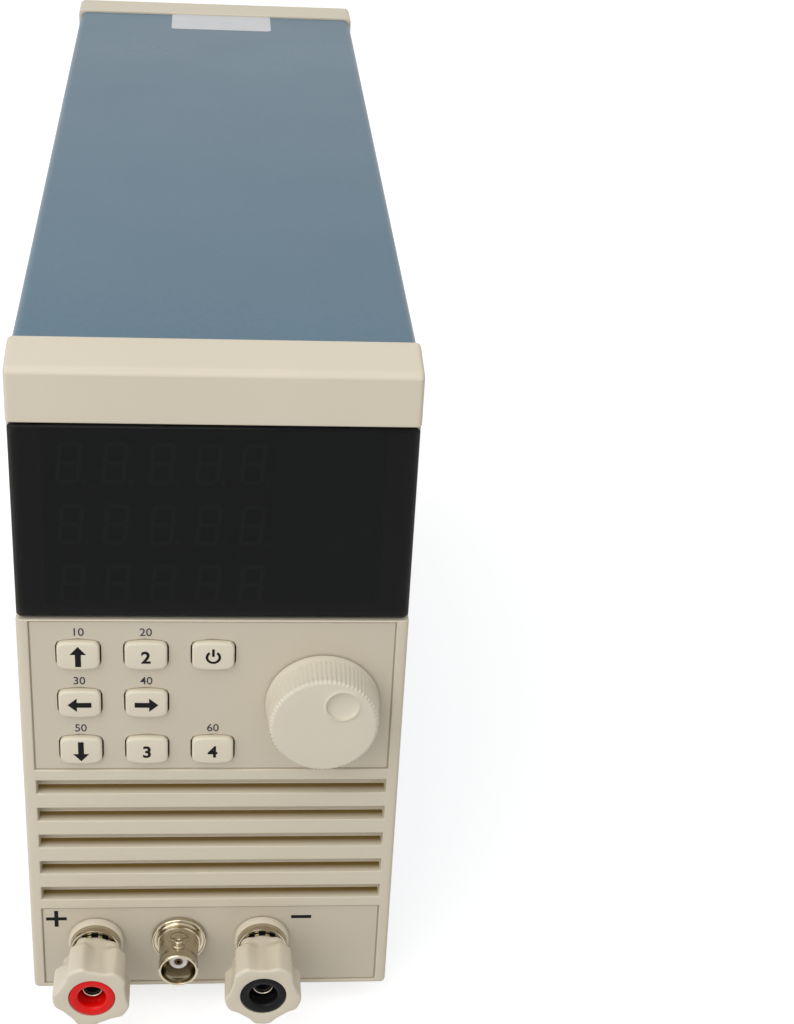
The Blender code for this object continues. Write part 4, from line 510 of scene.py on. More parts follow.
def shader_node(
    tree: bpy.types.NodeTree, kind: str, inputs: dict[object, object], **settings: object
) -> bpy.types.Node:
    """Adds a shader node.

    Args:
        tree: The nodes that it joins.
        kind: Its type.
        inputs: Its inputs, as for feed().
        settings: Its properties.

    Returns:
        The node.
    """
    node = tree.nodes.new("ShaderNode" + kind)
    for label, value in settings.items():
        setattr(node, label, value)
    feed(tree, node, inputs)
    return node


def maths(tree: bpy.types.NodeTree, operation: str, *values: object) -> bpy.types.NodeSocket:
    """Adds a Math node for numbers or sockets, and gives its output."""
    return shader_node(tree, "Math", dict(enumerate(values)), operation=operation).outputs[0]


def mixed(
    tree: bpy.types.NodeTree, share: bpy.types.NodeSocket, under: object, over: object
) -> bpy.types.NodeSocket:
    """Mixes two colours.

    Args:
        tree: The nodes that the mix joins.
        share: How much there is of the second colour.
        under: The first colour, or its socket.
        over: The second colour, or its socket.

    Returns:
        The mixed colour's socket.
    """
    inputs = {"Factor": share, 6: under, 7: over}
    return shader_node(tree, "Mix", inputs, data_type="RGBA").outputs[2]


@dataclass(frozen=True)
class Effects:
    """Shader groups that several finishes share, each built once.

    Attributes:
        pit_scale: How much finer than the grain its pits are.
        pit_depth: Their depth as a share of the grain.
        band: Noise levels between which a colour drifts.
        speck_scale: Scale of the specks in the dust.
    """

    pit_scale: float = 2.7
    pit_depth: float = 0.45
    band: Pair = (0.35, 0.65)
    speck_scale: float = 900.0

    def group(self, name: str, inputs: Sequence[str], outputs: Sequence[str]) -> Group:
        """Starts a group with its sockets.

        Args:
            name: Group name.
            inputs: Names of the inputs.
            outputs: Names of the outputs.

        Returns:
            The tree, the sockets that give its inputs, and its output node.
        """
        tree = bpy.data.node_groups.new(name, "ShaderNodeTree")
        for labels, way in ((inputs, "INPUT"), (outputs, "OUTPUT")):
            for label in labels:
                kind = SOCKETS.get(label, "NodeSocketFloat")
                tree.interface.new_socket(name=label, in_out=way, socket_type=kind)
        given = tree.nodes.new("NodeGroupInput").outputs
        return tree, given, tree.nodes.new("NodeGroupOutput")

    def noise(
        self, tree: bpy.types.NodeTree, vector: bpy.types.NodeSocket, scale: object, detail: float
    ) -> bpy.types.NodeSocket:
        """Adds a noise texture to a group.

        Args:
            tree: The group.
            vector: Socket that gives the place.
            scale: A number, or a socket that gives it.
            detail: Octaves.

        Returns:
            Its output socket.
        """
        inputs = {"Vector": vector, "Scale": scale, "Detail": detail}
        return shader_node(tree, "TexNoise", inputs).outputs[0]

    @cache
    def grain(self) -> bpy.types.NodeTree:
        """Spark-eroded grain of a mould, or the orange peel of a coat.

        Returns:
            A group with Vector and Scale in, Height and Mask out.
        """
        tree, given, end = self.group("surface_grain", ("Vector", "Scale"), ("Height", "Mask"))
        coarse = self.noise(tree, given["Vector"], given["Scale"], 2.0)
        finer = maths(tree, "MULTIPLY", given["Scale"], self.pit_scale)
        pits = shader_node(tree, "TexVoronoi", {"Vector": given["Vector"], "Scale": finer})
        depth = maths(tree, "MULTIPLY", pits.outputs["Distance"], self.pit_depth)
        height = maths(tree, "SUBTRACT", coarse, depth)
        feed(tree, end, {"Height": height, "Mask": coarse})
        return tree

    @cache
    def drift(self) -> bpy.types.NodeTree:
        """Slow change from one colour to its neighbour over a surface.

        Returns:
            A group with Vector, Scale, Colour, Neighbour and Amount in, Colour out.
        """
        inputs = ("Vector", "Scale", "Colour", "Neighbour", "Amount")
        tree, given, end = self.group("colour_drift", inputs, ("Colour",))
        broad = self.noise(tree, given["Vector"], given["Scale"], 3.0)
        low, high = self.band
        spread = shader_node(tree, "MapRange", {"Value": broad, "From Min": low, "From Max": high})
        share = maths(tree, "MULTIPLY", spread.outputs[0], given["Amount"])
        feed(tree, end, {"Colour": mixed(tree, share, given["Colour"], given["Neighbour"])})
        return tree

    @cache
    def handling(self) -> bpy.types.NodeTree:
        """Uneven polish that handling and wiping leave.

        Returns:
            A group with Vector, Scale, Roughness and Spread in, Roughness out.
        """
        inputs = ("Vector", "Scale", "Roughness", "Spread")
        tree, given, end = self.group("handling", inputs, ("Roughness",))
        smears = self.noise(tree, given["Vector"], given["Scale"], 5.0)
        swing = maths(tree, "MULTIPLY", maths(tree, "SUBTRACT", smears, 0.5), given["Spread"])
        feed(tree, end, {"Roughness": maths(tree, "ADD", given["Roughness"], swing)})
        return tree

    @cache
    def lines(self) -> bpy.types.NodeTree:
        """Fine lines left by drawing, rolling or brushing along one direction.

        Returns:
            A group with Vector, Scale and Stretch in, Height and Mask out.
        """
        inputs = ("Vector", "Scale", "Stretch")
        tree, given, end = self.group("drawn_lines", inputs, ("Height", "Mask"))
        pulled = {0: given["Vector"], 1: given["Stretch"]}
        pull = shader_node(tree, "VectorMath", pulled, operation="MULTIPLY")
        threads = self.noise(tree, pull.outputs[0], given["Scale"], 4.0)
        feed(tree, end, {"Height": threads, "Mask": threads})
        return tree

    @cache
    def dust(self) -> bpy.types.NodeTree:
        """Thin dust that settles on what faces up.

        Returns:
            A group with Vector and Amount in, Mask out.
        """
        tree, given, end = self.group("settled_dust", ("Vector", "Amount"), ("Mask",))
        shape = tree.nodes.new("ShaderNodeNewGeometry")
        split = shader_node(tree, "SeparateXYZ", {0: shape.outputs["Normal"]})
        upward = maths(tree, "MAXIMUM", split.outputs[2], 0.0)
        specks = self.noise(tree, given["Vector"], self.speck_scale, 6.0)
        fallen = maths(tree, "MULTIPLY", upward, maths(tree, "POWER", specks, 2.0))
        feed(tree, end, {"Mask": maths(tree, "MULTIPLY", fallen, given["Amount"])})
        return tree


EFFECTS = Effects()


class Make(Enum):
    """How a surface was made, which sets the marks on it."""

    MOULDED = "moulded"
    COATED = "coated"
    DRAWN = "drawn"
    PLATED = "plated"
    CLEAR = "clear"
    INK = "ink"
    BOARD = "board"


def linear(colour: Colour) -> Shade:
    """Turns a colour as a screen shows it, 0 to 255, into the shader's numbers."""
    shares = [part / 255.0 for part in colour]
    return (*[s / 12.92 if s <= 0.04045 else ((s + 0.055) / 1.055) ** 2.4 for s in shares], 1.0)


@dataclass(frozen=True)
class Finish:
    """One surface finish of this object.

    Attributes:
        name: Material name.
        slot: The record's material slot; not used by this script.
        make: How the surface was made.
        colour: Colour as a screen shows it.
        neighbour: The colour that it drifts to, and the colour of its painted shade where it has
            one.
        amount: How far it drifts, 0 to 1.
        patch: Size of a drifting patch in millimetres.
        rough: Roughness.
        spread: How much the roughness varies.
        grain: Size of a grain in millimetres.
        relief: Depth of the grain in millimetres.
        metallic: 1 for bare metal.
        coat: Weight of a clear coat.
        sheen_level: Specular level of the Principled shader.
        alpha: Share that is not seen through.
        dust: Dust on what faces up.
        stretch: Direction along which drawn lines run, as small number along it.
        shade_depths: Depths behind the front, in millimetres, between which the neighbour takes
            over as painted shade.
    """

    name: str
    slot: str
    make: Make
    colour: Colour
    neighbour: Colour
    amount: float = 0.5
    patch: float = 40.0
    rough: float = 0.5
    spread: float = 0.12
    grain: float = 0.5
    relief: float = 0.01
    metallic: float = 0.0
    coat: float = 0.0
    sheen_level: float = 0.5
    alpha: float = 1.0
    dust: float = 0.0
    stretch: tuple[float, float, float] = (1.0, 0.03, 1.0)
    shade_depths: Optional[Pair] = None

    @cache
    def material(self) -> bpy.types.Material:
        """Builds the material once.

        Returns:
            The material, shared by every piece with this finish.
        """
        made = bpy.data.materials.new(self.name)
        made.use_nodes = True
        made.diffuse_color = linear(self.colour)
        tree = made.node_tree
        shader = tree.nodes["Principled BSDF"]
        place = tree.nodes.new("ShaderNodeTexCoord")
        turn = shader_node(tree, "Mapping", {"Vector": place.outputs["Object"]})
        vector = turn.outputs["Vector"]
        smears = {
            "Vector": vector, "Scale": PER_METRE / (SMEAR * self.patch), "Roughness": self.rough,
            "Spread": self.spread,
        }
        polish = shader_node(tree, "Group", smears, node_tree=EFFECTS.handling())
        feed(tree, shader, {
            "Base Color": self.colour_nodes(tree, vector), "Metallic": self.metallic,
            "Roughness": polish.outputs["Roughness"], "Specular IOR Level": self.sheen_level,
            "Coat Weight": self.coat, "Coat Roughness": COAT_ROUGHNESS, "Alpha": self.alpha,
        })
        if self.relief > 0.0:
            feed(tree, shader, {"Normal": self.relief_nodes(tree, vector)})
        return made

    def colour_nodes(
        self, tree: bpy.types.NodeTree, vector: bpy.types.NodeSocket
    ) -> bpy.types.NodeSocket:
        """Adds the drifting colour, with its painted shade by depth and the dust over it where
        there are any.

        Args:
            tree: The material's nodes.
            vector: Socket that gives the place.

        Returns:
            The colour's socket.
        """
        colours = {
            "Vector": vector, "Scale": PER_METRE / self.patch, "Colour": linear(self.colour),
            "Neighbour": linear(self.neighbour), "Amount": self.amount,
        }
        drift = shader_node(tree, "Group", colours, node_tree=EFFECTS.drift())
        colour = drift.outputs["Colour"]
        # Painted shade: the colour darkens towards the neighbour with depth behind the front.
        if self.shade_depths:
            near, far = [(FRONT + depth) * MM for depth in self.shade_depths]
            depth = shader_node(tree, "SeparateXYZ", {0: vector}).outputs[1]
            shade_ramp = shader_node(
                tree, "MapRange", {"Value": depth, "From Min": near, "From Max": far}
            )
            colour = mixed(tree, shade_ramp.outputs[0], colour, linear(self.neighbour))
        if self.dust > 0.0:
            fallen = {"Vector": vector, "Amount": self.dust}
            dust = shader_node(tree, "Group", fallen, node_tree=EFFECTS.dust())
            colour = mixed(tree, dust.outputs["Mask"], colour, linear(DUST_COLOUR))
        return colour

    def relief_nodes(
        self, tree: bpy.types.NodeTree, vector: bpy.types.NodeSocket
    ) -> bpy.types.NodeSocket:
        """Adds the grain or the drawn lines.

        Args:
            tree: The material's nodes.
            vector: Socket that gives the place.

        Returns:
            The normal's socket.
        """
        inputs = {"Vector": vector, "Scale": PER_METRE / self.grain}
        if self.make in (Make.DRAWN, Make.PLATED):
            group = EFFECTS.lines()
            inputs["Stretch"] = self.stretch
        else:
            group = EFFECTS.grain()
        marks = shader_node(tree, "Group", inputs, node_tree=group)
        raised = {"Height": marks.outputs["Height"], "Strength": 1.0, "Distance": self.relief * MM}
        return shader_node(tree, "Bump", raised).outputs["Normal"]


MOULDING = Finish(
    "beige_moulding", "beige_abs", Make.MOULDED, (214, 204, 184), (208, 198, 178), rough=0.55,
    grain=0.45, relief=0.012, dust=0.05,
)
KEYCAP = Finish(
    "key_moulding", "beige_abs", Make.MOULDED, (222, 213, 192), (217, 208, 187), rough=0.45,
    grain=0.35, relief=0.006, patch=12.0,
)
KNOB_SKIN = Finish(
    "knob_moulding", "beige_abs", Make.MOULDED, (216, 208, 190), (211, 203, 184), rough=0.5,
    grain=0.4, relief=0.008, patch=18.0,
)
CAP_SKIN = Finish(
    "cap_moulding", "beige_abs", Make.MOULDED, (214, 204, 184), (209, 198, 177), rough=0.32,
    grain=0.8, relief=0.006, patch=10.0, spread=0.08,
)
PLATE = Finish(
    "satin_plate", "silver_beige_plate", Make.COATED, (204, 194, 175), (197, 187, 168), rough=0.42,
    grain=0.3, relief=0.006, patch=35.0,
)
WINDOW = Finish(
    "smoked_window", "smoked_acrylic", Make.CLEAR, (18, 19, 20), (21, 22, 23), rough=0.08,
    spread=0.03, relief=0.0, alpha=0.78, sheen_level=0.1,
)
PAINT = Finish(
    "blue_powder_coat", "blue_paint", Make.COATED, (78, 109, 127), (73, 103, 122), rough=0.3,
    grain=0.9, relief=0.012, patch=60.0, dust=0.06, amount=0.6, sheen_level=0.2,
)
STEEL = Finish(
    "zinc_sheet", "zinc_steel", Make.DRAWN, (176, 178, 176), (168, 170, 169), rough=0.4,
    spread=0.03, relief=0.002, metallic=1.0, patch=30.0,
)
WIRE = Finish(
    "nickel_wire", "zinc_steel", Make.PLATED, (190, 191, 190), (176, 177, 176), rough=0.22,
    grain=0.4, relief=0.003, metallic=1.0, patch=6.0,
)
NICKEL = Finish(
    "bright_nickel", "nickel", Make.PLATED, (192, 182, 161), (176, 165, 142), rough=0.15,
    spread=0.10, relief=0.002, metallic=1.0, patch=4.0, stretch=(1.0, 0.2, 1.0),
)
# Gold plating darkened to brown: painted shade for the contact deep in the socket's pin hole.
CONTACT = Finish(
    "shaded_gold_contact", "gold", Make.PLATED, (96, 78, 50), (82, 66, 42), rough=0.4, grain=0.4,
    relief=0.002, metallic=1.0, patch=3.0,
)
COPPER = Finish(
    "bare_copper", "copper", Make.DRAWN, (200, 130, 96), (176, 104, 72), rough=0.34, grain=0.4,
    relief=0.004, metallic=1.0, patch=8.0, amount=0.9,
)
EXTRUSION = Finish(
    "extruded_aluminium", "aluminium", Make.DRAWN, (196, 198, 200), (184, 186, 188), rough=0.36,
    relief=0.006, metallic=1.0, patch=20.0,
)
RED = Finish(
    "red_insert", "red_plastic", Make.MOULDED, (226, 16, 10), (214, 12, 8), rough=0.22, grain=0.8,
    relief=0.003, patch=6.0, spread=0.04, sheen_level=0.2,
)
BLACK = Finish(
    "black_moulding", "black_plastic", Make.MOULDED, (34, 34, 36), (42, 42, 44), rough=0.46,
    grain=0.35, patch=15.0,
)
BLACK_GLOSS = Finish(
    "black_insert", "black_plastic", Make.MOULDED, (19, 19, 20), (24, 24, 25), rough=0.28,
    grain=0.7, relief=0.003, patch=6.0, sheen_level=0.12,
)
INSULATOR = Finish(
    "white_insulator", "white_insulator", Make.MOULDED, (232, 230, 226), (224, 222, 216),
    rough=0.35, relief=0.003, patch=4.0,
)
RUBBER = Finish(
    "foot_rubber", "black_rubber", Make.MOULDED, (38, 38, 38), (50, 50, 49), rough=0.8, grain=0.4,
    relief=0.02, patch=8.0, dust=0.2,
)
LAMINATE = Finish(
    "green_laminate", "green_board", Make.BOARD, (32, 92, 58), (26, 80, 50), rough=0.35, grain=0.6,
    relief=0.006, patch=12.0, coat=0.2,
)
VARNISH = Finish(
    "varnished_core", "varnished_core", Make.COATED, (86, 72, 58), (64, 52, 42), rough=0.4,
    grain=1.2, relief=0.03, patch=6.0, coat=0.3, amount=0.8,
)
INK_BLACK = Finish(
    "black_print", "beige_abs", Make.INK, (20, 18, 20), (28, 26, 28), rough=0.6, grain=0.25,
    relief=0.003, patch=3.0, sheen_level=0.12,
)
INK_GREY = Finish(
    "grey_print", "silver_beige_plate", Make.INK, (62, 62, 66), (74, 74, 76), rough=0.6, grain=0.25,
    relief=0.003, patch=3.0, sheen_level=0.15,
)
INK_WHITE = Finish(
    "white_print", "black_plastic", Make.INK, (226, 226, 224), (212, 212, 210), rough=0.5,
    grain=0.25, relief=0.003, patch=3.0,
)
BEDDING = Finish(
    "bedding_strip", "beige_abs", Make.MOULDED, (178, 166, 142), (170, 158, 134), rough=0.6,
    grain=0.4, relief=0.004, patch=10.0,
)
SEGMENT = Finish(
    "unlit_segment", "black_plastic", Make.MOULDED, (178, 184, 180), (168, 174, 170), rough=0.5,
    grain=0.4, relief=0.003, patch=5.0,
)
# Painted shade for the louvres: the moulding's beige runs to dark brown with depth behind the
# front, standing in for the shade under the bars.
LOUVRE_SHADE = Finish(
    "louvre_painted_shade", "beige_abs", Make.COATED, (214, 204, 184), (120, 98, 44), amount=0.0, rough=0.6,
    grain=0.45, relief=0.008, shade_depths=(0.5, 2.7),
)
SLEEVE = Finish(
    "capacitor_sleeve", "black_plastic", Make.MOULDED, (28, 34, 52), (34, 40, 58), rough=0.35,
    relief=0.002, patch=8.0,
)
TAPE = Finish(
    "winding_tape", "varnished_core", Make.COATED, (206, 168, 72), (190, 150, 60), rough=0.4,
    grain=0.8, patch=9.0,
)
BRASS = Finish(
    "turned_brass", "gold", Make.PLATED, (196, 164, 96), (180, 148, 84), rough=0.28, grain=0.4,
    relief=0.002, metallic=1.0, patch=4.0,
)
DISPLAY_FACE = Finish(
    "display_face", "black_plastic", Make.MOULDED, (16, 16, 17), (20, 20, 21), rough=0.5, grain=0.4,
    relief=0.004, patch=8.0,
)
LABEL = Finish(
    "bare_label", "blue_paint", Make.INK, (202, 203, 205), (194, 196, 199), rough=0.4, grain=0.4,
    relief=0.004, patch=8.0,
)


def finish_piece(piece: bpy.types.Object, finish: Finish, body: str, node: str = "") -> None:
    """Gives a piece its finish and its body, and hides the solid that it stands for.

    Args:
        piece: The object.
        finish: Its finish.
        body: The body that it rides on.
        node: Solid of the frame that it replaces, if any.
    """
    piece.data.materials.clear()
    piece.data.materials.append(finish.material())
    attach(piece, body)
    if node:
        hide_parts(node)
    log.info("%s on %s in %s", piece.name, body, finish.name)


def reskin(node: str, finish: Finish, width: float, segments: int = 2, body: str = "case") -> None:
    """Replaces a solid of the frame by its eased copy.

    Args:
        node: The solid.
        finish: The copy's finish.
        width: Size of the rounds in millimetres.
        segments: Faces across a round.
        body: The body that it rides on.
    """
    finish_piece(eased_copy(node, width, segments), finish, body, node)


def dress_node(node: str, finish: Finish) -> None:
    """Gives a solid of the frame its finish, and leaves its shape alone.

    Args:
        node: The solid.
        finish: Its finish.
    """
    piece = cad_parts[node]
    piece.data.materials.clear()
    piece.data.materials.append(finish.material())
    log.info("%s keeps its shape in %s", node, finish.name)


def screws(name: str, facing: Facing, spots: Sequence[Spot], radius: float, rise: float) -> None:
    """Fits pan-head screws with a cross recess.

    Args:
        name: Name of the set, to which a number is added.
        facing: The way that the heads look.
        spots: Centres of the heads' undersides.
        radius: Radius of a head.
        rise: Height of a head.
    """
    dome = [
        (0.0, rise), (0.5 * radius, 0.96 * rise), (0.82 * radius, 0.78 * rise),
        (0.97 * radius, 0.45 * rise), (radius, 0.0), (0.0, 0.0),
    ]
    head = Draft().turned(dome, steps=40)
    long, thin = 0.62 * radius, 0.12 * radius
    cross = Draft().block((-long, -thin, 0.4 * rise), (long, thin, 2 * rise))
    cross.carve(Draft().block((-thin, -long, 0.4 * rise), (thin, long, 2 * rise)), "UNION")
    head.carve(cross)
    for index, spot in enumerate(spots, 1):
        made = Draft().add(head).piece(f"{name}_{index}", seat(facing, spot, 17.0 * index))
        finish_piece(made, WIRE, "case")


@dataclass
class FrontMoulding:
    """The front moulding with its window, its two let-in plates and the signs at the terminals.

    Attributes:
        face: How far behind the moulding's face the plates lie.
        mark_width: Width of the polarity signs.
        mark_stroke: Stroke of the polarity signs.
        sills: Level of the uppermost louvre's sill and the distance to the next one.
        slots: Number of louvres.
        slot_reach: How far a louvre reaches to either side.
        coat: Section of the thin film on a sill and its blade that carries the painted shade, as
            depth and rise over the sill.
        plus: Place of the plus sign, across and above.
        minus: Place of the minus sign.
    """

    face: float = 0.4
    mark_width: float = 5.0
    mark_stroke: float = 0.95
    sills: Pair = (60.5, 8.03)
    slots: int = 5
    slot_reach: float = 41.05
    coat: Outline = (
        (0.4, -0.03), (3.9, -0.03), (8.1, 2.92), (8.1, 3.04), (3.85, 0.04), (0.6, 0.02),
    )
    plus: Pair = (-37.85, 22.0)
    minus: Pair = (22.1, 21.9)

    def build(self) -> None:
        """Builds the moulding, the window and both plates."""
        reskin("front_bezel", MOULDING, 0.3, 3)
        reskin("display_window", WINDOW, 0.25, 3)
        reskin("control_plate", PLATE, 0.1)
        reskin("terminal_plate", PLATE, 0.1)
        self.bedding("control_plate")
        self.bedding("terminal_plate")
        # Painted shade on the louvres' sills and blades.
        self.paint_louvre_shade()
        self.signs()

    def bedding(self, plate: str) -> None:
        """Lays the strip that closes the seam round a let-in plate.

        Args:
            plate: The plate's solid.
        """
        low, high = limits(plate)
        wide, tall = high.x - low.x, high.z - low.z
        gap = FIT - 0.02
        strip = Draft().prism(rounded(wide + 2 * gap, tall + 2 * gap, 0.5), 0.0, 0.25)
        strip.carve(Draft().prism(rounded(wide + 0.04, tall + 0.04, 0.4), -1.0, 1.0))
        where = seat(Facing.FRONT, in_front_of(plate, self.face + 0.45))
        strip.fit(plate + "_bedding", where, BEDDING)

    def paint_louvre_shade(self) -> None:
        """Lays a thin film over the louvres' sills and blades that darkens with depth: painted
        shade under the bars.
        """
        coat = Draft()
        for index in range(self.slots):
            sill = self.sills[0] - index * self.sills[1]
            outline = [(depth, sill + rise) for depth, rise in self.coat]
            coat.add(Draft().prism(outline, -self.slot_reach, self.slot_reach))
        coat.fit("louvre_shade_film", seat(Facing.RIGHT, ORIGIN), LOUVRE_SHADE)

    def signs(self) -> None:
        """Prints the plus and the minus sign."""
        half, stroke = self.mark_width / 2, self.mark_stroke / 2
        bar = [(-half, -stroke), (half, -stroke), (half, stroke), (-half, stroke)]
        upright = [(-y, x) for x, y in bar]
        plus = Draft().prism(bar, 0.0, PRINT).carve(Draft().prism(upright, 0.0, PRINT), "UNION")
        minus = Draft().prism(bar, 0.0, PRINT)
        for name, draft, (across, above) in (
            ("plus_sign", plus, self.plus), ("minus_sign", minus, self.minus)
        ):
            spot = (across, self.face, above)
            draft.fit(name, seat(Facing.FRONT, spot), INK_BLACK)


class Sign(Enum):
    """What is printed on a key."""

    UP = "up"
    DOWN = "down"
    LEFT = "left"
    RIGHT = "right"
    POWER = "power"
    TWO = "2"
    THREE = "3"
    FOUR = "4"


@dataclass
class Keypad:
    """Eight crowned key caps, their signs and the small numerals over them.

    Attributes:
        width: Width of a cap.
        height: Height of a cap, its bowed edges included.
        bow: How far the upper and lower edges bow out.
        corner: Corner radius.
        proud: How far a cap stands in front of the face.
        crown: How much higher a cap's middle is than its rim.
        rim: Radius of the round rim.
        number: Height of a key's number, and how much bolder it is than the built-in face.
        small: The same of a numeral over a key, and its distance from the key's edge.
        ink: Where the print starts on a cap, and its thickness.
        cell: Size of the cells that let a sign follow the crown.
        signs: Sign of each key, by body.
        numerals: Small numerals over some keys, by body.
    """

    width: float = 9.55
    height: float = 7.4
    bow: float = 0.45
    corner: float = 1.2
    proud: float = 1.1
    crown: float = 0.3
    rim: float = 0.55
    number: Pair = (3.2, 0.12)
    small: Spot = (2.1, 0.02, 2.15)
    ink: Pair = (-0.06, 0.09)
    cell: float = 0.51
    signs: dict[str, Sign] = field(default_factory=lambda: {
        "key_up": Sign.UP, "key_mode": Sign.TWO, "key_on": Sign.POWER, "key_left": Sign.LEFT,
        "key_right": Sign.RIGHT, "key_down": Sign.DOWN, "key_shift": Sign.THREE,
        "key_set": Sign.FOUR,
    })
    numerals: dict[str, str] = field(default_factory=lambda: {
        "key_up": "10", "key_mode": "20", "key_left": "30", "key_right": "40", "key_down": "50",
        "key_set": "60",
    })

    def outline(self) -> list[Pair]:
        """Draws the rim of a cap.

        Returns:
            A round-cornered rectangle whose long sides bow out.
        """
        points = rounded(self.width, self.height - 2 * self.bow, self.corner)
        ring: list[Pair] = []
        for start, end in zip(points, points[1:] + points[:1]):
            steps = max(1, round(math.dist(start, end) / 0.7))
            ring += [tuple(Vector(start).lerp(Vector(end), step / steps)) for step in range(steps)]
        return [(x, y + math.copysign(self.swell(x), y)) for x, y in ring]

    def swell(self, x: float) -> float:
        """Tells how far a long side bows out at a place along it."""
        return self.bow * (1.0 - min(1.0, abs(2 * x / self.width)) ** 2)

    def drop(self, x: float, y: float) -> float:
        """Tells how far the crowned top falls away from its middle at a place on it."""
        return self.crown * ((2 * x / self.width) ** 2 + (2 * y / self.height) ** 2) / 1.6

    def cap(self) -> Draft:
        """Models one cap.

        Returns:
            The cap, with its flange behind the face.
        """
        draft = Draft().prism(self.outline(), -3.0, self.proud - self.rim)
        face = max(draft.bm.faces, key=lambda item: item.calc_center_median().z)
        rounds = [math.radians(15.0 * step) for step in range(1, 7)]
        rings = [(self.rim * (1 - math.cos(turn)), self.rim * math.sin(turn)) for turn in rounds]
        rings += [(share * self.height / 2, self.rim) for share in (0.3, 0.5, 0.7, 0.85)]
        before = (0.0, 0.0)
        for inward, rise in rings:
            swept = bmesh.ops.extrude_face_region(draft.bm, geom=[face])["geom"]
            face = next(item for item in swept if isinstance(item, bmesh.types.BMFace))
            across = (self.width / 2 - inward) / (self.width / 2 - before[0])
            upward = (self.height / 2 - inward) / (self.height / 2 - before[0])
            bmesh.ops.scale(draft.bm, verts=face.verts, vec=(across, upward, 1.0))
            bmesh.ops.translate(draft.bm, verts=face.verts, vec=(0.0, 0.0, rise - before[1]))
            before = (inward, rise)
        draft.closed()
        return draft.bend(
            lambda co: co - Vector((0.0, 0.0, self.drop(co.x, co.y))) if co.z > 0.0 else co
        )

    def sign(self, kind: Sign) -> Draft:
        """Draws what is printed on a key.

        Args:
            kind: The sign.

        Returns:
            A thin solid that follows the crown.
        """
        if kind in (Sign.TWO, Sign.THREE, Sign.FOUR):
            draft = lettered(kind.value, *self.number)
        elif kind is Sign.POWER:
            ring = arc(1.75, 125.0, 415.0, 24) + arc(1.15, 415.0, 125.0, 24)
            bar = [(-0.3, 0.2), (0.3, 0.2), (0.3, 2.15), (-0.3, 2.15)]
            draft = Draft().prism(ring, 0.0, 1.0).add(Draft().prism(bar, 0.0, 1.0))
        else:
            turns = {Sign.UP: 0.0, Sign.LEFT: 90.0, Sign.DOWN: 180.0, Sign.RIGHT: 270.0}
            arrow = [
                (-0.66, -2.7), (0.66, -2.7), (0.66, 0.6), (1.85, 0.6), (0.0, 2.7), (-1.85, 0.6),
                (-0.66, 0.6),
            ]
            draft = Draft().prism(arrow, 0.0, 1.0)
            bmesh.ops.rotate(
                draft.bm, verts=draft.bm.verts, cent=ORIGIN,
                matrix=Matrix.Rotation(math.radians(turns[kind]), 3, "Z"),
            )
        bmesh.ops.triangulate(draft.bm, faces=draft.bm.faces)
        for across in (Vector((1.0, 0.0, 0.0)), Vector((0.0, 1.0, 0.0))):
            for step in range(-5, 6):
                whole = draft.bm.verts[:] + draft.bm.edges[:] + draft.bm.faces[:]
                bmesh.ops.bisect_plane(
                    draft.bm, geom=whole, dist=1e-5, plane_co=across * self.cell * step,
                    plane_no=across,
                )
        start, thick = self.ink
        return draft.bend(
            lambda co: Vector(
                (co.x, co.y, self.proud - self.drop(co.x, co.y) + start + thick * co.z)
            )
        )

    def build(self) -> None:
        """Builds every cap with its sign, and the numerals on the plate."""
        for body, kind in self.signs.items():
            across, _, above = in_front_of(body)
            where = seat(Facing.FRONT, (across, 0.0, above))
            self.cap().fit(body + "_cap", where, KEYCAP, body, body)
            self.sign(kind).fit(body + "_sign", where, INK_BLACK, body)
            if body in self.numerals:
                size, weight, lift = self.small
                draft = lettered(self.numerals[body], size, weight)
                draft.bend(lambda co: Vector((co.x, co.y, PRINT * co.z)))
                place = (across, 0.4, above + self.height / 2 + lift)
                draft.fit(body + "_numeral", seat(Facing.FRONT, place), INK_GREY)


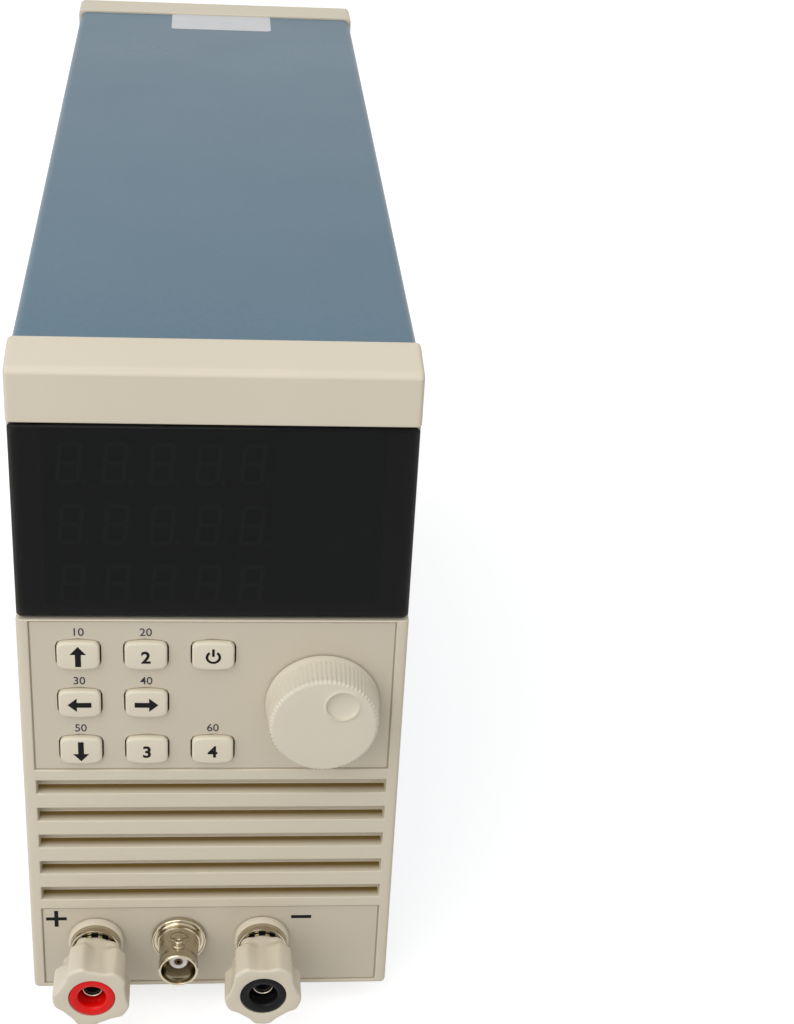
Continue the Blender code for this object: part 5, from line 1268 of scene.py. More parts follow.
@dataclass
class Knob:
    """The serrated setting knob with its finger dimple.

    Attributes:
        radius: Radius of the plain skirt.
        face_radius: Radius at the front of the serrations.
        reach: How far the knob's face stands out.
        teeth: Number of serrations.
        tooth: Depth of a serration.
        skirt: Height of the plain skirt.
        wall: Radius inside which nothing is serrated.
        dimple_radius: Radius of the dimple.
        dimple_depth: Its depth.
        dimple_offset: Its distance from the axis.
        dimple_angle: Its direction, in degrees from the right.
    """

    radius: float = 13.2
    face_radius: float = 12.5
    reach: float = 9.5
    teeth: int = 72
    tooth: float = 0.26
    skirt: float = 1.6
    wall: float = 11.9
    dimple_radius: float = 3.75
    dimple_depth: float = 0.6
    dimple_offset: float = 6.95
    dimple_angle: float = 55.0

    def side(self) -> list[Pair]:
        """Draws the knob's half section.

        Returns:
            A closed ring: outer side, round edge, face, and the hollow behind.
        """
        edge = arc(1.1, 0.0, 90.0, 8, self.face_radius - 1.1, self.reach - 1.1)
        outer = [(self.radius, 0.1), (self.radius, 1.2), (self.radius - 0.12, 1.5)]
        outer += [(self.radius - 0.2 - 0.5 * step / 8, 1.9 + 6.2 * step / 8) for step in range(9)]
        hollow = [
            (0.0, self.reach - 1.6), (11.0, self.reach - 1.6), (11.6, self.reach - 2.4), (11.8, 0.1)
        ]
        return outer + edge + [(6.0, self.reach), (0.0, self.reach)] + hollow

    def serrate(self, co: Vector) -> Vector:
        """Presses the serrations into the side.

        Args:
            co: A vertex.

        Returns:
            Where it goes.
        """
        span = math.hypot(co.x, co.y)
        if span < self.wall or co.z < self.skirt:
            return co
        deeper = 0.35 + 0.65 * ease((co.z - self.reach + 2.6) / 1.2)
        share = ease((co.z - self.skirt) / 0.8) * deeper
        wave = 0.5 - 0.5 * math.cos(self.teeth * math.atan2(co.y, co.x))
        scale = 1.0 - self.tooth * share * wave ** 1.5 / span
        return Vector((co.x * scale, co.y * scale, co.z))

    def build(self) -> None:
        """Builds the knob and the shaft, bush and nut behind it."""
        draft = Draft().turned(self.side(), steps=self.teeth * 6)
        draft.bend(self.serrate)
        angle = math.radians(self.dimple_angle)
        x, y = self.dimple_offset * math.cos(angle), self.dimple_offset * math.sin(angle)
        rim = self.dimple_radius
        lip = [
            (rim - 0.5, -0.5), (rim + 0.9, -0.5), (rim + 0.75, 0.0), (rim + 0.5, 0.05),
            (rim + 0.32, 0.16), (rim + 0.15, 0.2), (rim - 0.05, 0.18), (rim - 0.5, 0.1),
        ]
        raised = [(radius, self.reach + reach) for radius, reach in lip]
        draft.carve(Draft().turned(raised, steps=64, x=x, y=y), "UNION")
        bowl = [
            (0.0, self.reach + 1.0), (rim + 0.03, self.reach + 1.0), (rim, self.reach + 0.12),
            (rim - 0.1, self.reach - 0.1), (rim - 0.16, self.reach - 0.4),
            (rim - 0.45, self.reach - self.dimple_depth),
            (0.0, self.reach - self.dimple_depth - 0.06),
        ]
        draft.carve(Draft().turned(bowl, steps=64, x=x, y=y))
        where = seat(Facing.FRONT, in_front_of("control_knob"))
        draft.fit("knob_cap", where, KNOB_SKIN, "control_knob", "control_knob")
        dress_node("encoder_shaft", NICKEL)
        dress_node("encoder_nut", NICKEL)
        dress_node("encoder", BLACK)


@dataclass
class BindingPost:
    """One binding post: seat ring, collar, crown, fluted cap and coloured insert.

    Attributes:
        side: "positive" or "negative", as its solids are named.
        insert_finish: Finish of the insert.
        turn: Degrees that the cap is turned on.
        flutes: Flutes round the cap.
        flute_width: Width of a flute.
        grip_radius: Radius of the lobes at the grip.
        flange_radius: Radius of the lobes at the flange.
        grip_floor: Radius at the bottom of a flute, at the grip.
        flange_floor: The same at the front.
        crispness: How sharply a flute ends.
        solid: Radius inside which nothing is fluted.
        shoulder: Where the grip starts to flare.
        flare: Length of the flare.
        teeth: Teeth of the crown under the cap.
        reach: How far the post stands out.
    """

    side: str
    insert_finish: Finish
    turn: float = 0.0
    flutes: int = 5
    flute_width: float = 7.4
    grip_radius: float = 7.7
    flange_radius: float = 9.35
    grip_floor: float = 6.4
    flange_floor: float = 8.05
    crispness: float = 5.0
    solid: float = 5.75
    shoulder: float = 9.0
    flare: float = 2.8
    teeth: int = 12
    reach: float = 21.0

    def lobe(self, reach: float) -> float:
        """Tells the radius of the cap's lobes at a place along it."""
        share = ease((reach - self.shoulder) / self.flare)
        return self.grip_radius + (self.flange_radius - self.grip_radius) * share

    def fluted(self, co: Vector) -> Vector:
        """Presses the flutes into the cap's round side.

        Args:
            co: A vertex.

        Returns:
            Where it goes.
        """
        span, lobe = math.hypot(co.x, co.y), self.lobe(co.z)
        share = min(1.0, (span - self.solid) / (lobe - self.solid))
        if share <= 0.0:
            return co
        pitch = math.tau / self.flutes
        lean = (math.atan2(co.y, co.x) - math.pi / 2) % pitch
        across = 2 * lobe * math.sin(min(lean, pitch - lean)) / self.flute_width
        rise = across ** 3 / (1.0 + across ** (3 * self.crispness)) ** (1.0 / self.crispness)
        along = max(0.0, (co.z - self.shoulder) / (self.reach - self.shoulder))
        floor = self.grip_floor + (self.flange_floor - self.grip_floor) * along
        scale = 1.0 - share * (lobe - floor) * (1.0 - rise) / span
        return Vector((co.x * scale, co.y * scale, co.z))

    def cap(self) -> Draft:
        """Models the cap.

        Returns:
            The cap with its bore, fluted outside.
        """
        front, reach = self.flange_radius, self.reach
        grip = [
            (5.5, 5.9), (5.85, 5.95), (6.1, 6.2), (6.9, 6.75), (7.45, 7.2), (self.grip_radius, 7.8),
            (self.grip_radius, 8.4),
        ]
        flaring = [self.shoulder + 0.1 * self.flare * step for step in range(11)]
        grip += [(self.lobe(place), place) for place in flaring]
        flange = [(front, 12.4 + 1.2 * step) for step in range(7)] + arc(
            0.8, 0.0, 90.0, 7, front - 0.8, reach - 0.8
        )
        mouth = [(5.7, reach), (5.58, reach - 0.04), (5.52, reach - 0.2), (5.5, reach - 7.1)]
        bore = [(3.3, reach - 7.1), (3.3, 5.9)]
        return Draft().turned(grip + flange + mouth + bore, steps=200).bend(self.fluted)

    def collar(self) -> Draft:
        """Models the collar, the crown inside it and the stud.

        Returns:
            Collar, crown teeth, threaded stud and plug socket with its bright lip.
        """
        ring = [
            (3.0, 1.7), (6.0, 1.7), (6.1, 1.9), (6.1, 3.8), (6.0, 4.0), (5.8, 4.1), (5.5, 4.12),
            (5.3, 4.0), (5.25, 3.8), (5.25, 2.7), (3.0, 2.7),
        ]
        draft = Draft().turned(ring, steps=112)
        for index in range(self.teeth):
            turn = Matrix.Rotation(math.tau * (index + 0.5) / self.teeth, 4, "Z")
            draft.add(Draft().block((4.4, -0.55, 2.6), (5.15, 0.55, 5.6)).bevel(0.16, 3), turn)
        stud = [(0.0, -14.0)]
        stud += [(3.0 - 0.22 * (step % 2), -13.8 + 0.35 * step) for step in range(82)]
        stud += [(2.95, 15.0), (2.6, 15.3), (2.6, 17.3)] + arc(0.28, 0.0, 180.0, 8, 2.32, 17.32)
        return draft.add(Draft().turned(stud + [(2.04, 17.0), (2.04, 4.0), (0.0, 3.9)], steps=64))

    def build(self) -> None:
        """Builds the post's pieces and dresses its nut and bus bar."""
        name, top = self.side, self.reach
        spot = in_front_of(name + "_washer")
        where = seat(Facing.FRONT, spot)
        washer = [
            (3.3, -0.1), (6.5, -0.1), (6.75, 0.1), (6.8, 1.2), (6.6, 1.6), (6.2, 1.8), (5.9, 1.75),
            (5.7, 1.6), (3.3, 1.6),
        ]
        Draft().turned(washer).fit(name + "_seat_ring", where, CAP_SKIN, node=name + "_washer")
        self.collar().fit(name + "_collar", where, NICKEL, node=name + "_stud")
        # Painted shade: a black sleeve inside the stud's bore so that the plug hole reads dark.
        bore_shade_sleeve = [(1.85, 16.8), (2.02, 16.8), (2.02, 4.05), (0.0, 4.05), (0.0, 4.3), (1.85, 4.3)]
        Draft().turned(bore_shade_sleeve, steps=48).fit(name + "_liner", where, BLACK)
        core = [(3.05, 2.65), (5.2, 2.65), (5.2, 2.9), (4.3, 3.0), (4.3, 5.7), (3.05, 5.7)]
        Draft().turned(core, steps=64).fit(name + "_core", where, BLACK)
        turned = seat(Facing.FRONT, spot, self.turn)
        self.cap().fit(name + "_grip", turned, CAP_SKIN, name + "_cap", name + "_cap")
        ring = [
            (3.1, top - 6.8), (5.4, top - 6.8), (5.4, top - 0.3), (5.3, top - 0.12),
            (5.1, top - 0.05), (4.1, top - 0.08), (3.7, top - 0.18), (3.4, top - 0.42),
            (3.2, top - 0.8), (3.12, top - 1.4),
        ]
        Draft().turned(ring).fit(
            name + "_ring", where, self.insert_finish, name + "_insert", name + "_insert"
        )
        dress_node(name + "_nut", NICKEL)
        dress_node(name + "_bus_bar", COPPER)


@dataclass
class CoaxSocket:
    """The bayonet coaxial socket.

    Attributes:
        radius: Radius of the barrel.
        bore: Radius inside it.
        reach: How far it stands out.
        lug_reach: Where the two bayonet lugs stand.
    """

    radius: float = 4.8
    bore: float = 4.05
    reach: float = 11.8
    lug_reach: float = 7.2

    def build(self) -> None:
        """Builds shell, insulator and contact."""
        where = seat(Facing.FRONT, in_front_of("coax_nut"))
        shell = [
            (self.bore, self.reach - 0.25), (self.bore + 0.15, self.reach),
            (self.radius - 0.2, self.reach), (self.radius, self.reach - 0.25), (self.radius, 9.2),
            (4.66, 9.0), (4.66, 4.4), (self.radius, 4.2), (self.radius, 2.3), (4.95, 2.0),
            (5.25, 1.9), (5.3, 1.0), (5.55, 0.75), (6.1, 0.8), (6.3, 1.1), (6.55, 1.1), (6.7, 0.9),
            (6.7, -0.1), (4.6, -0.1), (4.6, -12.0), (2.6, -12.0), (2.6, 3.0), (self.bore, 3.0),
        ]
        draft = Draft().turned(shell, steps=128)
        for side in (1, -1):
            lug = Draft().turned([
                (0.0, 4.2), (1.75, 4.2), (1.75, 4.75), (1.6, 4.86), (1.05, 4.9), (1.05, 5.6),
                (0.85, 5.85), (0.45, 5.9), (0.3, 5.7), (0.0, 5.65),
            ], steps=32)
            lean = Matrix.Translation((0.0, 0.0, self.lug_reach)) @ Matrix.Rotation(
                -side * math.pi / 2, 4, "X"
            )
            draft.add(lug, lean)
        draft.fit("coax_barrel", where, NICKEL, node="coax_shell")
        core = [
            (1.4, -8.9), (2.3, -8.9), (2.3, 8.2), (2.1, 8.5), (0.85, 8.5), (0.75, 8.4), (0.75, 8.2),
            (1.4, 8.2),
        ]
        Draft().turned(core, steps=64).fit("coax_core", where, INSULATOR, node="coax_insulator")
        dress_node("coax_contact", CONTACT)
        dress_node("coax_nut", NICKEL)


@dataclass
class Displays:
    """Three rows of unlit seven-segment numerals behind the window.

    Attributes:
        columns: Places of the digits across the front.
        height: Height of a digit.
        width: Width of a digit.
        stroke: Width of a segment.
        slant: Degrees that the digits lean.
    """

    columns: tuple[float, ...] = (-31.4, -21.5, -11.4, -1.3, 8.3)
    height: float = 10.2
    width: float = 5.4
    stroke: float = 1.0
    slant: float = 6.0

    def segment(self, length: float) -> Draft:
        """Draws one segment with pointed ends.

        Args:
            length: Its length.

        Returns:
            The segment, lying across.
        """
        half, thick = length / 2, self.stroke / 2
        return Draft().prism(
            [
                (-half, 0), (thick - half, -thick), (half - thick, -thick), (half, 0),
                (half - thick, thick), (thick - half, thick),
            ],
            0.0, LAYER,
        )

    def digit(self) -> Draft:
        """Draws one digit with its point.

        Returns:
            Seven segments and a dot.
        """
        tall, wide = self.height - self.stroke, self.width - self.stroke
        draft = Draft()
        for y in (-tall / 2, 0.0, tall / 2):
            draft.add(self.segment(wide - 0.2), Matrix.Translation((0.0, y, 0.0)))
        for x in (-wide / 2, wide / 2):
            for y in (-tall / 4, tall / 4):
                upright = Matrix.Translation((x, y, 0.0)) @ Matrix.Rotation(math.pi / 2, 4, "Z")
                draft.add(self.segment(tall / 2 - 0.2), upright)
        draft.add(Draft().prism(circle(0.6, 16, wide / 2 + 1.5, -tall / 2), 0.0, LAYER))
        lean = math.tan(math.radians(self.slant))
        return draft.bend(lambda co: Vector((co.x + co.y * lean, co.y, co.z)))

    def build(self) -> None:
        """Builds the three rows and dresses their blocks and the board."""
        for row in ("display_upper", "display_middle", "display_lower"):
            draft = Draft()
            for column in self.columns:
                draft.add(self.digit(), Matrix.Translation((column, 0.0, 0.0)))
            where = seat(Facing.FRONT, (0.0, limits(row)[0].y, centre(row).z))
            draft.fit(row + "_digits", where, SEGMENT)
            dress_node(row, DISPLAY_FACE)
        dress_node("front_board", LAMINATE)


@dataclass
class CaseShell:
    """The painted cover, the pan under it, the feet and the bare label on top.

    Attributes:
        label: The top label's centre across and behind, and its size.
        pan_label: The same of the label underneath.
        sticker: Thickness of a label.
        screw_spots: Distances of the side screws behind the front.
        screw_level: Their level.
        sunk: How deep the feet's screws sit.
    """

    label: Placing = (1.75, 260.4, 31.5, 16.6)
    pan_label: Placing = (0.0, 140.0, 54.0, 28.0)
    sticker: float = 0.08
    screw_spots: Pair = (40.0, 241.0)
    screw_level: float = 6.6
    sunk: float = 2.4

    def build(self) -> None:
        """Builds cover, pan, feet, labels and side screws."""
        reskin("case_cover", PAINT, 0.25)
        reskin("bottom_pan", PAINT, 0.25)
        cover, under = limits("case_cover")[1], limits("bottom_pan")[0]
        for name, facing, level, (across, behind, wide, deep), corner in (
            ("top_label", Facing.UP, cover.z, self.label, 1.2),
            ("under_label", Facing.DOWN, under.z, self.pan_label, 1.5),
        ):
            draft = Draft().prism(rounded(wide, deep, corner), 0.0, self.sticker)
            draft.fit(name, seat(facing, (across, behind, level)), LABEL)
        self.feet()
        for side, facing in ((1, Facing.RIGHT), (-1, Facing.LEFT)):
            spots = [(side * cover.x, behind, self.screw_level) for behind in self.screw_spots]
            screws("cover_screw_" + facing.name.lower(), facing, spots, 2.5, 0.5)

    def feet(self) -> None:
        """Builds the recessed feet with the screws that hold them."""
        rubber = [
            (0.0, 0.0), (7.0, 0.0), (7.75, 4.6), (7.9, 5.6), (7.75, 6.1), (7.2, 6.3), (4.6, 6.3),
            (4.2, 6.15), (4.05, 5.7), (4.0, 2.4), (0.0, 2.4),
        ]
        for corner in ("front_left", "front_right", "rear_left", "rear_right"):
            across, behind, _ = centre("foot_" + corner)
            top = limits("foot_" + corner)[1].z
            where = seat(Facing.DOWN, (across, behind, top))
            Draft().turned(rubber).fit("pad_" + corner, where, RUBBER, node="foot_" + corner)
            head = (across, behind, top - self.sunk)
            screws("pad_screw_" + corner, Facing.DOWN, [head], 3.0, 1.5)


@dataclass
class RearPanel:
    """The rear bezel and panel with inlet, switch, selector and data connector.

    Attributes:
        inlet: The socket's centre across, its floor behind the front, and its level.
        rocker: The rocker's middle across, and the levels of its two marks.
        mark_depths: How far behind the front the two marks lie.
        mark_slope: How much the rocker's upper half leans.
        number: The plain number beside the slider: across, behind and above.
        number_rise: Its thickness.
        serial: The data connector's floor behind the front, and its level.
        pitch: Distance between two of its pins.
        post_aside: Distance of its posts from its middle.
        panel: Outside of the panel behind the front.
        screw_aside: Distance of the panel's screws from the middle.
        screw_levels: Their levels.
    """

    inlet: Spot = (-17.5, 263.6, 123.2)
    rocker: Spot = (20.3, 127.5, 119.7)
    mark_depths: Pair = (279.44, 278.17)
    mark_slope: float = 0.325
    number: Spot = (24.45, 275.8, 102.0)
    number_rise: float = 0.05
    serial: Pair = (277.9, 155.0)
    pitch: float = 2.77
    post_aside: float = 12.5
    panel: float = 277.5
    screw_aside: float = 36.1
    screw_levels: Pair = (96.5, 161.0)

    def build(self) -> None:
        """Builds the rear's pieces."""
        reskin("rear_bezel", MOULDING, 0.3, 3)
        reskin("rear_panel", STEEL, 0.12)
        reskin("mains_inlet", BLACK, 0.25, 3)
        reskin("fuse_drawer", BLACK, 0.25, 3, body="fuse_drawer")
        reskin("switch_housing", BLACK, 0.2, 3)
        reskin("switch_rocker", BLACK_GLOSS, 0.2, 3, body="switch_rocker")
        reskin("selector_housing", BLACK, 0.2, 3)
        reskin("selector_slider", RED, 0.15, body="selector_slider")
        reskin("serial_connector", STEEL, 0.15, 3)
        self.pins()
        self.marks()
        self.data()
        asides = (self.screw_aside, -self.screw_aside)
        spots = [(aside, self.panel, above) for aside in asides for above in self.screw_levels]
        screws("panel_screw", Facing.REAR, spots, 2.5, 1.7)

    def pins(self) -> None:
        """Builds the three metal pins of the mains inlet."""
        across, floor, above = self.inlet
        for name, aside, lift in (("left", -7.0, -2.0), ("right", 7.0, -2.0), ("earth", 0.0, 2.0)):
            draft = Draft().block((-1.06, -2.06, 0.0), (1.06, 2.06, 11.3)).bevel(0.4, 3)
            where = seat(Facing.REAR, (across + aside, floor, above + lift))
            draft.fit("inlet_pin_" + name, where, NICKEL)

    def marks(self) -> None:
        """Prints the switch's two positions and the number beside the selector's slider."""
        across, upper, lower = self.rocker
        bar = Draft().prism([(-0.35, -1.3), (0.35, -1.3), (0.35, 1.3), (-0.35, 1.3)], 0.0, LAYER)
        bar.bend(lambda co: co + Vector((0.0, 0.0, self.mark_slope * co.y)))
        ring = Draft().turned([(0.9, 0.0), (1.35, 0.0), (1.35, LAYER), (0.9, LAYER)], steps=48)
        marks = (("on_mark", bar, upper), ("off_mark", ring, lower))
        for (name, draft, above), behind in zip(marks, self.mark_depths):
            where = seat(Facing.REAR, (across, behind, above))
            draft.fit(name, where, INK_WHITE, "switch_rocker")
        number = lettered("230", 1.8, 0.02)
        number.bend(lambda co: Vector((co.x, co.y, self.number_rise * co.z)))
        number.fit("selector_number", seat(Facing.REAR, self.number), INK_WHITE)

    def data(self) -> None:
        """Builds the data connector's insert, its nine pins and its two threaded posts."""
        floor, above = self.serial
        where = seat(Facing.REAR, (0.0, floor, above))
        insert = Draft().prism([(-6.0, -3.1), (6.0, -3.1), (7.3, 3.1), (-7.3, 3.1)], -0.1, 0.3)
        insert.fit("data_insert", where, BLACK)
        pins = Draft()
        pin = Draft().turned(
            [(0.0, 0.2), (0.5, 0.2), (0.5, 2.7), (0.36, 3.1), (0.0, 3.25)], steps=20
        )
        for count, lift in ((5, 0.5), (4, -0.5)):
            for index in range(count):
                aside = (index - (count - 1) / 2) * self.pitch
                pins.add(pin, Matrix.Translation((aside, lift * self.pitch, 0.0)))
        pins.fit("data_pins", where, BRASS)
        for side in (1, -1):
            post = Draft().prism(circle(2.7, 6), 0.0, 4.0).bevel(0.2, 2)
            post.carve(
                Draft().turned(
                    [(0.0, 1.0), (1.2, 1.0), (1.2, 3.7), (1.5, 4.2), (0.0, 4.2)], steps=32
                )
            )
            place = seat(Facing.REAR, (side * self.post_aside, self.panel, above))
            post.fit("data_post_" + ("right" if side > 0 else "left"), place, WIRE)


@dataclass
class CoolingFan:
    """The fan with its frame, rotor and wire guard.

    Attributes:
        spacing: Distance between its screws.
        eye: Outside of the guard's eyes behind the front.
        wire: Radius of the guard's wire.
        rings: Radii of its rings.
        ring_level: Level of the rings' middle, in radii of the wire.
        eye_height: Height of an eye.
        short: How far before the screws the crossing wires end.
        hub_label: Radius of the label on the hub.
    """

    spacing: float = 71.5
    eye: float = 279.3
    wire: float = 0.79
    rings: tuple[float, ...] = (8.5, 17.5, 26.5, 35.5)
    ring_level: float = 2.35
    eye_height: float = 1.5
    short: float = 1.4
    hub_label: float = 13.0

    def build(self) -> None:
        """Builds the fan's pieces."""
        reskin("fan_frame", BLACK, 0.3)
        reskin("fan_rotor", BLACK, 0.2, body="fan_rotor")
        middle, back = centre("fan_frame").z, limits("fan_frame")[1].y
        label = Draft().prism(circle(self.hub_label, 64), 0.0, LAYER)
        label.fit("fan_label", seat(Facing.REAR, (0.0, back, middle)), LABEL)
        reach = self.spacing / 2
        corners = [(x, self.eye, middle + z) for x in (reach, -reach) for z in (reach, -reach)]
        screws("fan_screw", Facing.REAR, corners, 2.75, 1.9)
        self.guard(middle)

    def guard(self, middle: float) -> None:
        """Builds the wire guard: four rings on two crossing wires with flattened eyes.

        Args:
            middle: Level of the fan's axis.
        """
        wire, reach = self.wire, self.spacing / 2
        draft = Draft()
        for radius in self.rings:
            section = arc(wire, 0.0, 330.0, 11, radius, self.ring_level * wire)
            draft.add(Draft().turned(section, steps=128))
        for angle in (45.0, 135.0):
            across = Matrix.Rotation(math.radians(angle), 4, "Z")
            lie = Matrix.Translation((0.0, 0.0, wire)) @ across
            lie @= Matrix.Rotation(math.pi / 2, 4, "Y")
            long = reach * math.sqrt(2) - self.short
            draft.add(Draft().prism(circle(wire, 14), -long, long), lie)
        eye = [(0.0, 0.0), (2.75, 0.0), (2.9, 0.15), (2.9, 1.45), (2.75, 1.6), (0.0, 1.6)]
        for x in (reach, -reach):
            for y in (reach, -reach):
                draft.add(Draft().turned(eye, steps=40, x=x, y=y))
        where = seat(Facing.REAR, (0.0, self.eye - self.eye_height, middle))
        draft.fit("wire_guard", where, WIRE, node="finger_guard")


@dataclass
class Interior:
    """The cooling tunnel, the boards with their components, and the transformer.

    Attributes:
        rows: Rows of power transistors under the power board.
        board: Thickness of a board.
        margin: Distances of a board's holes from its sides and its ends.
        cans: How high the capacitors stand over the board.
        sheets: Sheets in the transformer's core.
        sheet_pitch: Distance from one to the next.
        sheet_thickness: Thickness of one.
    """

    rows: int = 4
    board: float = 1.6
    margin: Pair = (4.0, 8.0)
    cans: float = 18.0
    sheets: int = 25
    sheet_pitch: float = 0.8
    sheet_thickness: float = 0.74

    def build(self) -> None:
        """Builds what is inside the case."""
        dress_node("heat_tunnel", EXTRUSION)
        self.power()
        self.control()
        self.supply()

    def laminate(self, name: str, low: Vector, high: Vector, level: float, node: str) -> None:
        """Builds a board's laminate.

        Args:
            name: Name of the piece.
            low: Lowest corner of the solid that it stands for.
            high: Its highest corner.
            level: Underside of the laminate.
            node: That solid.
        """
        wide, deep = high.x - low.x, high.y - low.y
        draft = Draft().prism(rounded(wide, deep, 1.0), 0.0, self.board)
        holes = Draft()
        aside, along = wide / 2 - self.margin[0], deep / 2 - self.margin[1]
        hole = [(0.0, -1.0), (1.6, -1.0), (1.6, 3.0), (0.0, 3.0)]
        for x in (-aside, aside):
            for y in (-along, along):
                holes.add(Draft().turned(hole, steps=24, x=x, y=y))
        draft.carve(holes)
        place = seat(Facing.UP, ((low.x + high.x) / 2, (low.y + high.y) / 2, level))
        draft.fit(name, place, LAMINATE, node=node)

    def power(self) -> None:
        """Builds the power board, the transistors under it and its two capacitors."""
        low, high = limits("power_board")
        top = high.z - self.cans
        self.laminate("power_laminate", low, high, top - self.board, "power_board")
        bodies, tabs, legs = Draft(), Draft(), Draft()
        for row in range(self.rows):
            behind = low.y + (row + 0.5) * (high.y - low.y) / self.rows
            for across in (low.x / 2, high.x / 2):
                spot = Matrix.Translation((across, behind, low.z))
                bodies.add(Draft().block((-8.0, -10.5, 0.5), (8.0, 5.5, 4.9)).bevel(0.5, 2), spot)
                tabs.add(Draft().block((-7.9, -10.4, 0.0), (7.9, 10.4, 0.6)), spot)
                for aside in (-5.0, 0.0, 5.0):
                    legs.add(Draft().block((aside - 0.6, 5.0, 1.8), (aside + 0.6, 9.6, 2.4)), spot)
                    legs.add(Draft().block((aside - 0.6, 9.0, 1.8), (aside + 0.6, 9.6, 8.6)), spot)
        shift = seat(Facing.UP, ORIGIN)
        bodies.fit("transistor_bodies", shift, BLACK)
        tabs.fit("transistor_tabs", shift, STEEL)
        legs.fit("transistor_legs", shift, WIRE)
        for name, across in (("left", low.x / 2), ("right", high.x / 2)):
            where = seat(Facing.UP, (across, high.y - 16.0, top))
            can = [
                (0.0, 0.0), (7.9, 0.0), (7.9, 1.2), (7.7, 1.6), (7.7, 2.2), (7.95, 2.6),
                (7.95, 17.3), (7.6, 17.8), (6.6, 17.9), (6.4, 17.7), (0.0, 17.7),
            ]
            Draft().turned(can, steps=64).fit("capacitor_" + name, where, SLEEVE)
            lid = Draft().turned([(0.0, 17.65), (6.3, 17.65), (6.3, 17.85), (0.0, 17.85)], steps=64)
            lid.fit("capacitor_lid_" + name, where, EXTRUSION)

    def control(self) -> None:
        """Builds the control board with its packages and its four brass standoffs."""
        low, high = limits("control_board")
        self.laminate("control_laminate", low, high, high.z - self.board, "control_board")
        across, behind, _ = centre("control_board")
        where = seat(Facing.UP, (across, behind, high.z))
        packages = Draft()
        for x, y, wide, deep in (
            (-18.0, 18.0, 14.0, 14.0), (8.0, 20.0, 18.0, 7.5), (8.0, 4.0, 18.0, 7.5),
            (-18.0, -8.0, 9.0, 20.0), (14.0, -18.0, 12.0, 12.0),
        ):
            packages.add(
                Draft().block(
                    (x - wide / 2, y - deep / 2, 0.1), (x + wide / 2, y + deep / 2, 2.6)
                ).bevel(0.25, 2)
            )
        packages.fit("control_packages", where, BLACK)
        posts = Draft()
        for x in (low.x + 3.0, high.x - 3.0):
            for y in (low.y + 3.0, high.y - 3.0):
                post = Draft().prism(circle(3.0, 6), low.z, high.z - self.board).bevel(0.3, 2)
                posts.add(post, Matrix.Translation((x, y, 0.0)))
        posts.fit("control_standoffs", seat(Facing.UP, ORIGIN), BRASS)

    def supply(self) -> None:
        """Builds the transformer: laminated core, taped winding and its bobbin."""
        low, high = limits("transformer")
        _, behind, middle = centre("transformer")
        core = Draft()
        for index in range(self.sheets):
            start = behind + (index - 0.5 * self.sheets) * self.sheet_pitch
            end = start + self.sheet_thickness
            core.add(Draft().block((low.x, start, low.z), (high.x, end, high.z)))
        core.add(
            Draft().block(
                (low.x + 0.2, behind - 9.9, low.z + 0.2), (high.x - 0.2, behind + 9.9, high.z - 0.2)
            )
        )
        level = seat(Facing.UP, ORIGIN)
        core.fit("transformer_core", level, VARNISH, node="transformer")
        coil = Draft().block(
            (-14.5, low.y + 1.0, middle - 12.2), (14.5, high.y - 1.0, middle + 12.2)
        ).bevel(3.0, 5)
        coil.fit("transformer_winding", level, TAPE)
        rims = Draft()
        for start in (low.y, high.y - 1.2):
            rims.add(
                Draft().block(
                    (-15.5, start, middle - 13.0), (15.5, start + 1.2, middle + 13.0)
                ).bevel(0.4, 2)
            )
        rims.fit("transformer_bobbin", level, BLACK)


@dataclass(frozen=True)
class Lamp:
    """A soft square lamp.

    Attributes:
        name: Lamp name.
        size: Its side in metres.
        power: Its power in watts.
        place: Where it hangs, in metres.
        target: What it points at.
    """

    name: str
    size: float
    power: float
    place: Spot
    target: Spot

    def hang(self) -> None:
        """Adds the lamp to the scene."""
        light = bpy.data.lights.new(self.name, "AREA")
        light.shape = "SQUARE"
        light.size = self.size
        light.energy = self.power
        holder = in_scene(self.name, light)
        holder.location = self.place
        way = Vector(self.target) - Vector(self.place)
        holder.rotation_euler = way.to_track_quat("-Z", "Y").to_euler()


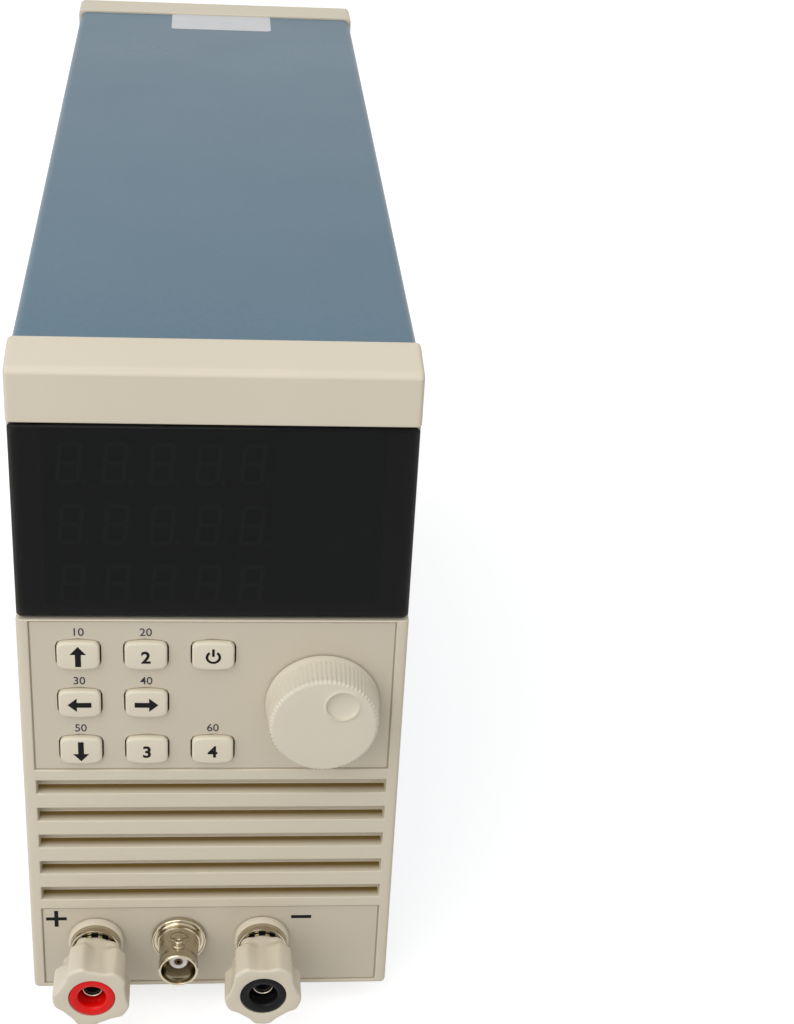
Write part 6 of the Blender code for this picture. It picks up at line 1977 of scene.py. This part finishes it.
@dataclass
class Studio:
    """Floor, light and camera.

    Attributes:
        eye: Camera place in metres.
        look: Camera turn in degrees.
        lens: Focal length for a 36 mm sensor.
        shift: Upward shift that frames the photograph.
        sky: Strength of the sky's diffuse light.
        glow: How much the floor glows where it is looked at.
        tone: The floor's own colour.
        lamps: The lamps.
    """

    eye: Spot = (-0.00134984, -0.50431071, 0.35083281)
    look: Spot = (59.33759, -3.1075, -4.542)
    lens: float = 69.0337
    shift: float = 0.056641
    sky: float = 0.62
    glow: float = 0.72
    tone: Shade = (0.5, 0.5, 0.5, 1.0)
    lamps: tuple[Lamp, ...] = (
        Lamp("key_lamp", 0.9, 4.2, (-0.42, -0.45, 1.0), (0.0, 0.0, 0.1)),
        Lamp("fill_lamp", 0.9, 2.9, (-0.5, -0.85, 0.5), (0.0, -0.1, 0.1)),
    )

    def camera(self) -> None:
        """Sets up the camera at the photograph's viewing angle."""
        view = bpy.data.cameras.new("camera")
        view.lens = self.lens
        view.sensor_width = 36.0
        view.sensor_fit = "AUTO"
        view.shift_y = self.shift
        view.clip_start = 0.01
        holder = in_scene("camera", view)
        holder.location = self.eye
        holder.rotation_euler = Euler([math.radians(angle) for angle in self.look], "XYZ")
        bpy.context.scene.camera = holder

    def looked_at(self, tree: bpy.types.NodeTree) -> bpy.types.NodeSocket:
        """Adds the test that tells rays of the camera, of metal and of glass from soft light.

        Args:
            tree: The nodes of the sky or the floor.

        Returns:
            A socket that is 1 for such a ray.
        """
        path = tree.nodes.new("ShaderNodeLightPath").outputs
        either = maths(tree, "MAXIMUM", path["Is Camera Ray"], path["Is Glossy Ray"])
        return maths(tree, "MAXIMUM", either, path["Is Transmission Ray"])

    def world(self) -> None:
        """Sets a plain soft sky that the camera and reflections see as white."""
        sky = bpy.data.worlds.new("soft_sky")
        sky.use_nodes = True
        tree = sky.node_tree
        levels = {"Value": self.looked_at(tree), "To Min": self.sky, "To Max": 1.0}
        pick = shader_node(tree, "MapRange", levels)
        feed(tree, tree.nodes["Background"], {"Color": WHITE, "Strength": pick.outputs[0]})
        bpy.context.scene.world = sky

    def floor(self) -> None:
        """Lays a plain pale floor that keeps the object's soft shadow."""
        draft = Draft()
        bmesh.ops.create_circle(draft.bm, cap_ends=True, radius=4000.0, segments=64)
        made = draft.piece("floor", Matrix.Scale(MM, 4))
        material = bpy.data.materials.new("pale_floor")
        material.use_nodes = True
        tree = material.node_tree
        glow = maths(tree, "MULTIPLY", self.looked_at(tree), self.glow)
        feed(tree, tree.nodes["Principled BSDF"], {
            "Base Color": self.tone, "Roughness": 0.9, "Specular IOR Level": 0.1,
            "Emission Color": WHITE, "Emission Strength": glow,
        })
        made.data.materials.append(material)

    def build(self) -> None:
        """Sets the whole studio up."""
        self.camera()
        self.world()
        for lamp in self.lamps:
            lamp.hang()
        self.floor()


def main() -> None:
    """Builds everything in order."""
    logging.basicConfig(level=logging.INFO, format="%(message)s")
    settings = bpy.context.scene.view_settings
    settings.view_transform = "Standard"
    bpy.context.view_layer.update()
    Studio().build()
    FrontMoulding().build()
    Keypad().build()
    Knob().build()
    BindingPost("positive", RED, -11.5).build()
    BindingPost("negative", BLACK_GLOSS).build()
    CoaxSocket().build()
    Displays().build()
    CaseShell().build()
    RearPanel().build()
    CoolingFan().build()
    Interior().build()


if __name__ == "__main__":
    main()
